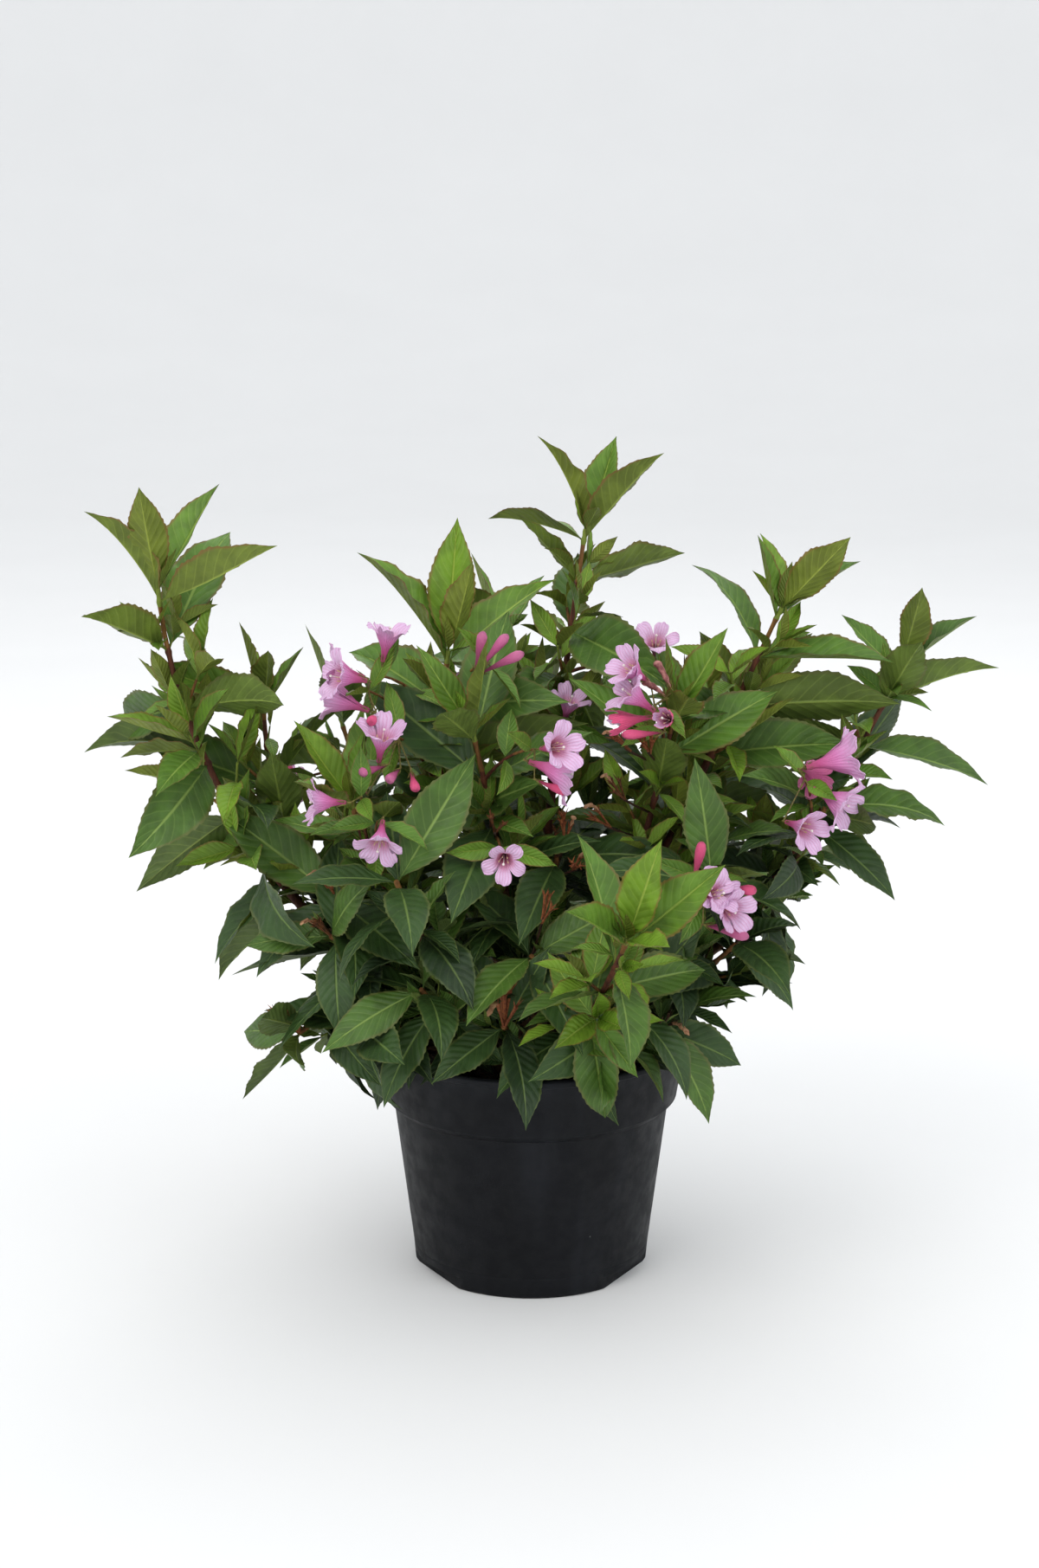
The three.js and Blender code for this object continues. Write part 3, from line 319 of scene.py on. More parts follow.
def chance_of(name, seed=7):
    """Draws numbers from 0 to 1, the same ones for the same name and seed."""
    state = seed
    for letter in name:
        state = (state * 31 + ord(letter)) & WORD

    def draw():
        nonlocal state
        state = (state + STRIDE) & WORD
        t = ((state ^ (state >> 15)) * (state | 1)) & WORD
        t ^= (t + (t ^ (t >> 7)) * (t | 61)) & WORD
        return (t ^ (t >> 14)) / (WORD + 1)

    return draw


def about(chance, width):
    return (chance() - 0.5) * width


class Stem:
    """A curve as short straight steps, with a radius that tapers from foot to tip."""

    def __init__(self, foot, bend, tip, foot_radius, tip_radius):
        shares = [i / CURVE_STEPS for i in range(CURVE_STEPS + 1)]
        self.points = [foot * (1 - t) ** 2 + bend * (2 * t * (1 - t)) + tip * t * t for t in shares]
        self.reached = [0]
        for a, b in zip(self.points, self.points[1:]):
            self.reached.append(self.reached[-1] + (b - a).length)
        self.length = self.reached[-1]
        self.foot_radius, self.tip_radius = foot_radius, tip_radius
        self.across = Vector((foot.y - tip.y, tip.x - foot.x, 0)).normalized()

    def at(self, distance):
        d = min(max(distance, 0), self.length)
        i = 1
        while i < CURVE_STEPS and self.reached[i] < d:
            i += 1
        step = self.points[i] - self.points[i - 1]
        share = (d - self.reached[i - 1]) / (self.reached[i] - self.reached[i - 1])
        radius = self.foot_radius + (self.tip_radius - self.foot_radius) * d / self.length
        return Record(point=self.points[i - 1] + step * share, direction=step.normalized(), radius=radius)

    def out_of(self, direction, azimuth):
        first = (self.across - direction * self.across.dot(direction)).normalized()
        return first * math.cos(azimuth) + first.cross(direction) * math.sin(azimuth)

    def leaving(self, at, azimuth, spread):
        return self.out_of(at.direction, azimuth) * math.sin(spread) + at.direction * math.cos(spread)


# ---- The growth rule

def pair_at(k):
    return PAIRS[min(k, len(PAIRS) - 1)]


def leaf_distances(limb):
    """How far down from a limb's tip each pair of leaves stands."""
    leafy_length = limb.stem.length * (1 - (limb.bare or STEM.leafless))
    scale = limb.leaf * AGES[limb.age].closer
    found, k, down = [], 0, pair_at(0)[0]
    while down < leafy_length:
        found.append(down)
        k += 1
        down += pair_at(k)[0] * scale
    return found


def leaf_at(stem, at, k, skyward, azimuth, spread, roll, droop, length):
    """A leaf: its axil, the way it sets off, the side that faces the light, its bend and its length."""
    azimuth = math.radians(azimuth)
    heading = stem.leaving(at, azimuth, math.radians(spread))
    facing = at.direction.lerp(UP, skyward)
    facing = (facing - heading * facing.dot(heading)).normalized()
    facing = Quaternion(heading, math.radians(roll)) @ facing
    root = at.point + heading * at.radius * LEAF.root
    return Record(
        at=at, azimuth=azimuth, k=k, root=root, heading=heading, facing=facing, droop=math.radians(droop), length=length
    )


def grow_pairs(stem, distances, first_pair, longest, phase, chance, own=()):
    """Pairs of leaves on a stem or twig, each a quarter turn from the one before. A few have numbers of their own."""
    leaves = []
    for k, down in enumerate(distances):
        for side in (0, 180):
            _, length, spread, droop, skyward = pair_at(k + first_pair)
            drawn = (
                phase + 90 * k + side + about(chance, JITTER.azimuth),
                spread * (1 + about(chance, JITTER.spread)),
                about(chance, JITTER.roll),
                droop * (1 + about(chance, JITTER.droop)),
                longest * length * (1 + about(chance, JITTER.length)),
            )
            stands_out = len(leaves) in own
            numbers = own[len(leaves)] if stands_out else drawn
            leaves.append(leaf_at(stem, stem.at(stem.length - down), k, skyward, *numbers))
            leaves[-1].stands_out = stands_out
    return leaves


def side_twig(axil, stem, longest, chance):
    """A side twig from a leaf's axil, with two pairs of smaller leaves of its own."""
    reach = min(SIDE_TWIG.length + SIDE_TWIG.growth * (axil.k - SIDE_TWIG.first_pair), SIDE_TWIG.longest)
    way = stem.leaving(axil.at, axil.azimuth, math.radians(SIDE_TWIG.spread))
    way = way * reach * (1 + about(chance, JITTER.vigour))
    foot = axil.at.point
    twig = Stem(foot, foot + way * 0.5, foot + way + UP * reach * SIDE_TWIG.rise, TWIG.radius, TWIG.tip_radius)
    phase = 90 * chance()
    distances = [PAIRS[0][0], reach * SIDE_TWIG.second_pair]
    return Record(twig=twig, leaves=grow_pairs(twig, distances, 1, longest * SIDE_TWIG.leaf, phase, chance))


def growth(limb):
    """Everything that grows on one shoot, in a fixed order of draws."""
    chance = chance_of(limb.name, limb.seed)
    longest = LEAF.length * limb.leaf
    first_pair, own = AGES[limb.age].first_pair, LEAVES.get(limb.name, {})
    leaves = grow_pairs(limb.stem, leaf_distances(limb), first_pair, longest, limb.phase, chance, own)
    axils = [leaf for leaf in leaves if leaf.k >= SIDE_TWIG.first_pair and chance() < SIDE_TWIG.chance]
    return leaves, [side_twig(axil, limb.stem, longest, chance) for axil in axils], axils


def cluster(blossom, stem):
    """The twig and blooms of one cluster. Its blooms tilt away from the way it faces, all round."""
    _, down, end, face, open_count, bud_count = blossom
    at = stem.at(stem.length - down)
    end, face = Vector(end), Vector(face).normalized()
    bend = at.point.lerp(end, 0.5) + at.direction * (at.point - end).length * TWIG.arch
    twig = Stem(at.point, bend, end, TWIG.radius, TWIG.tip_radius)
    side = face.cross(UP).normalized()
    count = open_count + bud_count
    tilt = math.radians(BLOOM.fan) if count > 1 else 0
    blooms = []
    for i in range(count):
        off = Quaternion(face, 2 * math.pi * (i + BLOOM.first) / count) @ side
        heading = face * math.cos(tilt) + off * math.sin(tilt)
        blooms.append(Record(root=end, heading=heading, open=i < open_count))
    return Record(twig=twig, blooms=blooms)


def midrib(leaf, share):
    ahead = math.sin(leaf.droop * share) / leaf.droop * leaf.length
    below = (1 - math.cos(leaf.droop * share)) / leaf.droop * leaf.length
    return leaf.root + leaf.heading * ahead - leaf.facing * below


def lifted(leaf, degrees):
    turn = Quaternion(leaf.heading.cross(UP).normalized(), math.radians(degrees))
    return Record(**{**vars(leaf), "heading": turn @ leaf.heading, "facing": turn @ leaf.facing})


limbs = {}
for age, shoots in SHOOTS.items():
    for name, (start, tip, out, up, bare, phase, seed, leaf) in shoots.items():
        tip = Vector(tip)
        parent = limbs.get(start[0])
        if parent:
            at = parent.stem.at(parent.stem.length * start[1])
            foot, radius = at.point, at.radius * STEM.fork
        else:
            foot = Vector((*start, SOIL_LEVEL))
            radius = CANE.radius + CANE.thickening * (tip - foot).length
        bend = Vector(a + (b - a) * share for a, b, share in zip(foot, tip, (out, out, up)))
        stem = Stem(foot, bend, tip, radius, STEM.tip_radius)
        limbs[name] = Record(
            name=name, age=age, stem=stem, bare=bare, bare_to=stem.length * bare, phase=phase, seed=seed,
            leaf=leaf or AGES[age].leaf, forked=bool(parent),
        )


# ---- Keeping clear

CLEAR = 2
POT_TOP, POT_RIM, RIM_BAND = 195, 130, 10
LOWEST_LEAF = POT_TOP / 4


def clear_of_pot(point):
    r = math.hypot(point.x, point.y)
    if point.z > POT_TOP + CLEAR:
        return True
    if r < POT_RIM - RIM_BAND:
        return point.z > SOIL_LEVEL + CLEAR
    return r > POT_RIM + CLEAR and point.z > LOWEST_LEAF


bare_lines = {
    limb.name: np.array([tuple(p) for p, d in zip(limb.stem.points, limb.stem.reached) if d < limb.bare_to])
    for limb in limbs.values()
    if limb.bare_to
}


def clear_of_limbs(point, own):
    return all(
        ((line - np.array(point)) ** 2).sum(1).min() >= (limbs[name].stem.foot_radius + CLEAR) ** 2
        for name, line in bare_lines.items() if name != own
    )


CLEAR_SHARES = (0.2, 0.45, 0.7, 1)


def leaf_clear(leaf, own):
    across = leaf.heading.cross(leaf.facing) * leaf.length * LEAF.width / 2
    middle = midrib(leaf, LEAF.widest)
    spots = [midrib(leaf, share) for share in CLEAR_SHARES] + [middle + across, middle - across]
    return all(clear_of_pot(spot) and clear_of_limbs(spot, own) for spot in spots)


PROOF_SHARES = (0.14, 0.3, 0.5, 0.75, 0.97)
PROOF_WIDTHS = (0.55, 0.9, 0.95, 0.6, 0.06)
PROOF_FACES = [(a, a + 1, a + 4, a + 3) for i in range(len(PROOF_SHARES) - 1) for a in (3 * i, 3 * i + 1)]


def proof_of(leaf):
    """A coarse blade that stands for a leaf while its place is sought."""
    across = leaf.heading.cross(leaf.facing) * leaf.length * LEAF.width / 2
    points = []
    for share, width in zip(PROOF_SHARES, PROOF_WIDTHS):
        middle = midrib(leaf, share)
        points += [middle - across * width, middle, middle + across * width]
    return points


BLADE = Record(petiole=0.05, full=1.06, drawn_out=1.35, stalk=0.045, flank=0.5, belly=-0.4, teeth=0.06, peak=0.7)


def blade_width(share):
    """Half width of a leaf, as a share of its greatest: wedge-shaped at the foot, long drawn out at the tip."""
    at = np.clip((share - BLADE.petiole) / (1 - BLADE.petiole), 0, 1)
    widest = LEAF.widest
    swell = (at / widest) ** BLADE.full * ((1 - at) / (1 - widest)) ** BLADE.drawn_out
    return np.maximum(swell, BLADE.stalk * (share < 0.5))


# Gaps that the crown keeps when seen from the front, where the camera stands: x and z on the upright plane through
# the middle of the pot, and radius.
GAPS = np.array([
    (6, 638, 18), (15, 622, 10), (23, 612, 6), (30, 605, 4), (-317, 565, 15), (-299, 555, 6), (-275, 555, 4),
    (-25, 571, 10), (-10, 587, 18), (15, 578, 6), (34, 599, 5), (78, 598, 6), (95, 546, 15), (133, 541, 10),
    (334, 571, 18), (-335, 504, 15), (-320, 498, 10), (-235, 524, 18), (-186, 485, 11), (-185, 515, 10),
    (-158, 524, 10), (-138, 534, 18), (-129, 519, 7), (-101, 535, 7), (115, 526, 7), (166, 520, 4), (212, 483, 4),
    (231, 524, 6), (288, 523, 7), (314, 495, 4), (324, 503, 7), (-332, 450, 5), (-256, 435, 4), (-238, 421, 4),
    (-211, 447, 4), (-201, 459, 6), (-200, 449, 7), (-194, 464, 7), (-150, 448, 7), (205, 479, 4), (219, 479, 4),
    (-309, 383, 10), (-299, 383, 7), (-259, 363, 7), (-198, 405, 4), (28, 386, 4), (35, 390, 4), (-246, 317, 15),
    (-225, 317, 7), (285, 352, 10), (154, 263, 6), (208, 295, 6), (218, 274, 6), (240, 294, 19), (235, 231, 19),
    (-187, 144, 19), (-171, 158, 11), (-150, 125, 19),
])
EYE = np.array(camera.location) / MM
GAP_SHARES, GAP_SIDES = np.linspace(0.1, 1, 9), (-1, -0.5, 0, 0.5, 1)


def closes_gap(leaf):
    """Whether a leaf would stand in one of the gaps."""
    across = np.array(leaf.heading.cross(leaf.facing)) * leaf.length * LEAF.width / 2
    rib = np.array([midrib(leaf, share) for share in GAP_SHARES])
    spots = np.concatenate([rib + side * blade_width(GAP_SHARES)[:, None] * across for side in GAP_SIDES])
    reach = EYE[1] / (EYE[1] - spots[:, 1])
    flat = EYE[[0, 2]] + (spots - EYE)[:, [0, 2]] * reach[:, None]
    return bool((np.linalg.norm(flat[:, None] - GAPS[None, :, :2], axis=2) < GAPS[:, 2]).any())


MOST_PROOFS = 4000


class Room:
    """What is filled so far, to seek a free place for the next leaf."""

    def __init__(self):
        self.low, self.high, self.trees = np.empty((MOST_PROOFS, 3)), np.empty((MOST_PROOFS, 3)), []

    def meets(self, points, faces):
        low, high = np.min(points, 0), np.max(points, 0)
        n = len(self.trees)
        near = np.nonzero((self.low[:n] < high).all(1) & (self.high[:n] > low).all(1))[0]
        tree = BVHTree.FromPolygons(points, faces)
        return sum(bool(tree.overlap(self.trees[i])) for i in near)

    def fill(self, points, faces):
        n = len(self.trees)
        self.low[n], self.high[n] = np.min(points, 0), np.max(points, 0)
        self.trees.append(BVHTree.FromPolygons(points, faces))


# ---- Meshes from arrays

class Heap:
    """Many small shapes of one kind, gathered into one mesh. Points are in millimetres."""

    def __init__(self, name, finishes):
        self.name, self.finishes = name, finishes
        self.points, self.faces, self.tones, self.places = [], [], [], []
        self.count = 0

    def add(self, points, faces, tones, places=None):
        points = np.asarray(points, float)
        self.points.append(points)
        self.places.append(np.zeros((len(points), 2)) if places is None else np.asarray(places, float))
        self.faces += [tuple(i + self.count for i in face) for face in faces]
        self.tones += [tones] * len(faces) if isinstance(tones, int) else list(tones)
        self.count += len(points)

    def made(self, replaced, slot, crease=60):
        mesh = bpy.data.meshes.new(self.name)
        mesh.from_pydata(np.concatenate(self.points) * MM, [], self.faces)
        layer = mesh.uv_layers.new(name="blade")
        corner = np.empty(len(mesh.loops), np.int32)
        mesh.loops.foreach_get("vertex_index", corner)
        layer.data.foreach_set("uv", np.concatenate(self.places)[corner].ravel())
        mesh.polygons.foreach_set("material_index", self.tones)
        for finish in self.finishes:
            mesh.materials.append(finish)
        mesh.validate()
        piece = bpy.data.objects.new(self.name, mesh)
        bpy.context.scene.collection.objects.link(piece)
        smoothed(piece, crease)
        return kept(piece, replaced)


def only(piece):
    bpy.ops.object.select_all(action="DESELECT")
    piece.select_set(True)
    bpy.context.view_layer.objects.active = piece


def smoothed(piece, crease):
    only(piece)
    bpy.ops.object.shade_smooth_by_angle(angle=math.radians(crease))


def kept(piece, replaced):
    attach(piece, "root")
    if replaced:
        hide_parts(*replaced)
    return piece


def ring_faces(rings, sides):
    """The faces between rings of points, ring by ring, and then the two that close the ends."""
    edges = [(i * sides + j, i * sides + (j + 1) % sides) for i in range(rings - 1) for j in range(sides)]
    ends = [tuple(reversed(range(sides))), tuple(range((rings - 1) * sides, rings * sides))]
    return [(a, b, b + sides, a + sides) for a, b in edges] + ends


def tube(stem, distances, radius_at, sides):
    """Rings round a stem, closed at both ends. Gives points, faces and each face's distance."""
    points = []
    for d in distances:
        at = stem.at(d)
        for j in range(sides):
            azimuth = 2 * math.pi * j / sides
            points.append(tuple(at.point + stem.out_of(at.direction, azimuth) * radius_at(at.radius, d, azimuth)))
    where = [d for d in distances[:-1] for _ in range(sides)] + [distances[0], distances[-1]]
    return points, ring_faces(len(distances), sides), where


# ---- Finishes

def linear(rgb):
    return tuple((c / 255 / 12.92) if c <= 10 else ((c / 255 + 0.055) / 1.055) ** 2.4 for c in rgb) + (1,)


class Finish:
    """A material and short words for the nodes that it is mixed from."""

    def __init__(self, name, roughness=0.5, specular=0.5):
        self.material = bpy.data.materials.new(name)
        self.material.use_nodes = True
        self.nodes, self.links = self.material.node_tree.nodes, self.material.node_tree.links
        self.shader = self.nodes["Principled BSDF"]
        self.shader.inputs["Roughness"].default_value = roughness
        self.shader.inputs["Specular IOR Level"].default_value = specular
        self.place = self.nodes.new("ShaderNodeTexCoord").outputs["Object"]

    def node(self, kind, wires=(), **settings):
        made = self.nodes.new(kind)
        for key, value in settings.items():
            setattr(made, key, value)
        for socket, value in dict(wires).items():
            if isinstance(value, bpy.types.NodeSocket):
                self.links.new(value, made.inputs[socket])
            else:
                made.inputs[socket].default_value = value
        return made

    def math(self, operation, a, b=0.0, c=0.0):
        return self.node("ShaderNodeMath", {0: a, 1: b, 2: c}, operation=operation).outputs[0]

    def ramp(self, value, low, high, to_low=0.0, to_high=1.0):
        wires = {"Value": value, "From Min": low, "From Max": high, "To Min": to_low, "To Max": to_high}
        return self.node("ShaderNodeMapRange", wires, interpolation_type="SMOOTHSTEP").outputs[0]

    def grain(self, scale, detail=3.0, stretch=(1, 1, 1)):
        spot = self.node("ShaderNodeMapping", {"Vector": self.place, "Scale": stretch}).outputs[0]
        return self.node("ShaderNodeTexNoise", {"Vector": spot, "Scale": scale, "Detail": detail}).outputs["Fac"]

    def mixed(self, share, a, b):
        wires = {"Factor": share, 6: a, 7: b}
        return self.node("ShaderNodeMix", wires, data_type="RGBA").outputs[2]

    def colour(self, socket):
        self.links.new(socket, self.shader.inputs["Base Color"])

    def rough(self, socket):
        self.links.new(socket, self.shader.inputs["Roughness"])

    def relief(self, height, depth, strength=1.0):
        bump = self.node("ShaderNodeBump", {"Height": height, "Distance": depth, "Strength": strength})
        self.links.new(bump.outputs[0], self.shader.inputs["Normal"])


# Shares of the half width (rib, margin) and of the space between two side veins (line).
VEINS = Record(rib=(0.015, 0.085), rib_share=0.85, slant=-0.2, pairs=11.0, line=0.12, margin=(0.86, 0.99), tint=0.75)


def leaf_finish(name, body, vein, margin, veining, under=False, gloss=0.5):
    """Blade colour with pale veins, quilting between them and a tinted margin."""
    f = Finish(name, specular=0.36)
    blade = f.node("ShaderNodeSeparateXYZ", {0: f.node("ShaderNodeUVMap", uv_map="blade").outputs[0]}).outputs
    side = f.math("ABSOLUTE", f.math("MULTIPLY_ADD", blade[0], 2.0, -1.0))
    rib = f.ramp(side, *VEINS.rib, 1.0, 0.0)
    sweep = f.math("MULTIPLY_ADD", side, VEINS.slant, blade[1])
    row = f.math("PINGPONG", f.math("MULTIPLY", sweep, VEINS.pairs), 0.5)
    vein_line = f.ramp(row, 0.0, VEINS.line, 1.0, 0.0)
    mottle = f.grain(55, 3)
    dark, light = [linear(tuple(min(255, c * k) for c in body)) for k in (0.91, 1.07)]
    skin = f.mixed(f.ramp(mottle, 0.35, 0.65), dark, light)
    skin = f.mixed(f.math("MULTIPLY", vein_line, veining), skin, linear(vein))
    edge = f.math("MULTIPLY", f.ramp(side, *VEINS.margin), VEINS.tint)
    skin = f.mixed(edge, skin, linear(margin))
    f.colour(f.mixed(f.math("MULTIPLY", rib, VEINS.rib_share), skin, linear(vein)))
    f.rough(f.ramp(f.grain(300, 2), 0.3, 0.7, gloss - 0.06, gloss + 0.1))
    quilt = f.math("MULTIPLY", f.ramp(row, 0.0, 0.5), -0.5 if under else 0.5)
    height = f.math("MULTIPLY_ADD", rib, 0.9 if under else -0.7, quilt)
    f.relief(f.math("MULTIPLY_ADD", f.grain(900, 2), 0.25, height), 0.0008, 0.8)
    return f.material


# tone: blade, vein, margin, underside, vein of the underside
TONES = {
    "lime": ((113, 147, 42), (166, 188, 80), (124, 92, 48), (108, 121, 41), (150, 163, 66)),
    "young": ((97, 132, 41), (156, 180, 80), (122, 88, 48), (100, 115, 42), (142, 157, 66)),
    "bright": ((84, 120, 39), (144, 170, 80), (112, 92, 50), (98, 116, 40), (142, 158, 70)),
    "mid": ((70, 101, 35), (130, 156, 76), (94, 96, 48), (92, 112, 44), (136, 156, 70)),
    "deep": ((49, 75, 32), (110, 134, 68), (88, 98, 48), (78, 97, 44), (122, 138, 66)),
    "old": ((37, 57, 29), (98, 118, 64), (78, 92, 48), (64, 82, 42), (108, 122, 64)),
}
TONE_NAMES = list(TONES)
leaf_finishes = []
for tone, (blade, vein, margin, under, under_vein) in TONES.items():
    veining = 0.12 if tone in ("deep", "old") else 0.2
    leaf_finishes += [
        leaf_finish("leaf_" + tone, blade, vein, margin, veining),
        leaf_finish("leaf_underside_" + tone, under, under_vein, margin, 0.3, under=True, gloss=0.6),
    ]


def bark_finish(name, light, dark):
    f = Finish(name, specular=0.3)
    streak = f.grain(260, 4, (1, 1, 0.18))
    speck = f.grain(900, 2)
    f.colour(f.mixed(f.ramp(streak, 0.32, 0.68), linear(dark), linear(light)))
    f.rough(f.ramp(speck, 0.3, 0.7, 0.62, 0.85))
    f.relief(f.math("MULTIPLY_ADD", speck, 0.3, streak), 0.0007)
    return f.material


bark = bark_finish("bark_brown", (122, 92, 62), (62, 44, 30))
stem_finishes = [
    bark_finish("stem_brown", (112, 80, 50), (66, 46, 30)),
    bark_finish("stem_red", (104, 58, 38), (66, 34, 26)),
    bark_finish("stem_orange", (132, 92, 46), (96, 62, 34)),
    bark_finish("stem_green", (122, 138, 52), (98, 108, 44)),
]
BROWN, RED, ORANGE, GREEN = range(4)


# ---- Leaves

def fan(strip, near, far):
    """Triangles that join a toothed edge to the two points inside it."""
    turn = len(strip) // 2
    first = [(near, a, b) for a, b in zip(strip[:turn], strip[1:])]
    return first + [(near, strip[turn], far)] + [(far, a, b) for a, b in zip(strip[turn:], strip[turn + 1 :])]


def on_way(start, end, part, whole):
    return start + (end - start) * part / whole


def blade_blank(segments, teeth):
    """A leaf as points (share along, side from -1 to 1, layer), faces, the upper ones first, and how many are upper."""
    rows = [0.0] + [on_way(BLADE.petiole, 1, i, segments - 1) for i in range(segments - 1)]
    ids, spots = {}, []

    def spot(key, share, side, layer):
        ids[key] = len(spots)
        spots.append((share, side, layer))

    for i, share in enumerate(rows):
        follow = rows[i + 1] if i + 1 < len(rows) else 1.0
        for side in (-1, 1):
            spot(("inner", i, side), share, BLADE.flank * side, 1)
            spot(("belly", i, side), share, BLADE.flank * side, BLADE.belly)
            spot(("edge", i, side), share, side, 0)
            for tooth in range(teeth if i else 0):
                peak = on_way(share, follow, tooth + BLADE.peak, teeth)
                spot(("peak", i, side, tooth), peak, side * (1 + BLADE.teeth), 0)
                if tooth + 1 < teeth:
                    spot(("notch", i, side, tooth), on_way(share, follow, tooth + 1, teeth), side, 0)
        spot(("rib", i), share, 0, 1)
        spot(("keel", i), share, 0, -1)
    spot("tip", 1.0, 0, 0)

    def get(kind, i, *side):
        return ids[(kind, i, *side)] if i < len(rows) else ids["tip"]

    upper, lower = [], []
    for i in range(len(rows)):
        for side in (-1, 1):
            strip = [get("edge", i, side)]
            for tooth in range(teeth):
                strip += [ids[key] for key in (("peak", i, side, tooth), ("notch", i, side, tooth)) if key in ids]
            strip.append(get("edge", i + 1, side))
            for skin, crest, flank, turned in ((upper, "rib", "inner", side < 0), (lower, "keel", "belly", side > 0)):
                near, far = get(flank, i, side), get(flank, i + 1, side)
                loops = [(get(crest, i), near, far, get(crest, i + 1))] + fan(strip, near, far)
                skin.extend(loop[::-1] if turned else loop for loop in loops)
    foot = [("edge", -1), ("inner", -1), ("rib",), ("inner", 1), ("edge", 1), ("belly", 1), ("keel",), ("belly", -1)]
    foot = tuple(get(kind, 0, *side) for kind, *side in foot)

    def clean(loops):
        loops = [tuple(v for n, v in enumerate(loop) if v != loop[n - 1]) for loop in loops]
        return [loop for loop in loops if len(loop) > 2]

    upper = clean(upper)
    return np.array(spots), upper + clean(lower) + [foot], len(upper)


LARGE_BLANK, SMALL_BLANK, SMALL_LEAF = blade_blank(9, 2), blade_blank(6, 1), 52
SKIN = Record(above=0.2, below=0.9, thinning=0.6, full_length=60)
SIDE_LAG = 0.23


def add_leaf(heap, leaf, tone):
    """Bends a blank along a leaf's midrib, folds it in a shallow V and ripples its margins."""
    spots, faces, upper = LARGE_BLANK if leaf.length > SMALL_LEAF else SMALL_BLANK
    share, side, layer = spots.T
    outline = blade_width(share)
    half = leaf.length * leaf.width / 2 * outline
    fold = math.radians(leaf.fold)
    angle = leaf.droop * share
    heading, facing = np.array(leaf.heading), np.array(leaf.facing)
    across = np.cross(heading, facing)
    rib = np.array(leaf.root) + np.outer(np.sin(angle) / leaf.droop * leaf.length, heading)
    rib -= np.outer((1 - np.cos(angle)) / leaf.droop * leaf.length, facing)
    normal = np.outer(np.cos(angle), facing) + np.outer(np.sin(angle), heading)
    twist = leaf.twist * share
    level = np.cos(twist)[:, None] * across + np.sin(twist)[:, None] * normal
    normal = np.cos(twist)[:, None] * normal - np.sin(twist)[:, None] * across
    ripple = np.sin(2 * math.pi * (leaf.waves * share + SIDE_LAG * np.sign(side)) + leaf.ripple_phase)
    lift = (np.abs(side) - BLADE.flank) * half * math.sin(fold) + ripple * leaf.ripple * side**2 * outline * leaf.length
    lift -= leaf.curl * half * side**4
    sweep = leaf.sweep * leaf.length * share**2
    thick = np.where(layer > 0, SKIN.above, layer * (SKIN.below - SKIN.thinning * share))
    thick = thick * min(1, leaf.length / SKIN.full_length)
    points = rib + level * (side * half * math.cos(fold) + sweep)[:, None] + normal * (lift + thick)[:, None]
    tones = [2 * tone] * upper + [2 * tone + 1] * (len(faces) - upper)
    heap.add(points, faces, tones, np.stack([side * 0.5 + 0.5, share], 1))


# ---- Growing the crown

# Two numbers in brackets are the least value and what chance adds to it. Leaves grow for the first 4 pairs.
FINER = Record(
    chance=0.9, spent_chance=0.4, first_pair=2, length=8, growth=5, longest=30, vigour=(0.7, 0.6), spread=38, rise=0.2,
    radius=0.9, tip_radius=0.6, leaf=0.3, leaf_growth=(0.8, 0.25, 4), leaf_vigour=(0.8, 0.4), three_pairs=16,
)
LOOK = Record(width=0.4, widths=(0.92, 0.16), folds=13, twist=20, waves=(2.6, 1.8), sweep=0.06)
FRESH_LOOK = Record(fold=21, tip_fold=28, ripple=0.015, curl=0.1)
AGED_LOOK = Record(fold=16, tip_fold=16, ripple=0.012, curl=0.22)
TONE_BY_PAIR = {
    "young": ("lime", "young", "bright", "mid", "mid", "deep", "deep"),
    "grown": ("young", "bright", "mid", "deep", "deep", "deep", "old"),
    "spent": ("mid", "deep", "deep", "old", "old", "old", "old"),
}


def over(chance, least, more):
    return least + more * chance()


def dressed(leaf, fresh, chance):
    """Gives a leaf the looks that the coarse one has no use for: fold, ripple, twist and curl."""
    look = FRESH_LOOK if fresh else AGED_LOOK
    leaf.width = LOOK.width * over(chance, *LOOK.widths)
    leaf.fold = over(chance, look.tip_fold if leaf.k < 2 else look.fold, LOOK.folds)
    leaf.twist = math.radians(about(chance, LOOK.twist))
    leaf.waves = over(chance, *LOOK.waves)
    leaf.ripple_phase = 2 * math.pi * chance()
    leaf.ripple = look.ripple * (0.5 + chance())
    leaf.curl = look.curl * chance()
    leaf.sweep = about(chance, LOOK.sweep)
    return leaf


def finer_twig(axil, stem, limb, chance):
    """A short fresh shoot in a leaf's axil, too small for the solids."""
    reach = min(FINER.length + FINER.growth * axil.k, FINER.longest) * over(chance, *FINER.vigour)
    way = stem.leaving(axil.at, axil.azimuth, math.radians(FINER.spread)) * reach
    foot = axil.at.point
    twig = Stem(foot, foot + way * 0.5, foot + way + UP * reach * FINER.rise, FINER.radius, FINER.tip_radius)
    least, more, most_pairs = FINER.leaf_growth
    longest = LEAF.length * limb.leaf * FINER.leaf * (least + more * min(axil.k, most_pairs))
    longest *= over(chance, *FINER.leaf_vigour)
    distances = [0.5, reach * 0.25, reach * 0.65] if reach > FINER.three_pairs else [0.5, reach * 0.4]
    return Record(twig=twig, leaves=grow_pairs(twig, distances, 0, longest, 90 * chance(), chance))


heaps = {age: Heap("leaves_" + age, leaf_finishes) for age in AGES}
twigs = Heap("twigs", stem_finishes)
room = Room()
FEW_LIFTS = (0, 5, -5, 10, -10)
SWELLING = Record(reach=3.5, width=2.6, height=0.38)
BARK_OVER_STEM, RIDGES = 1.1, Record(height=0.06, count=3, turn=0.2)


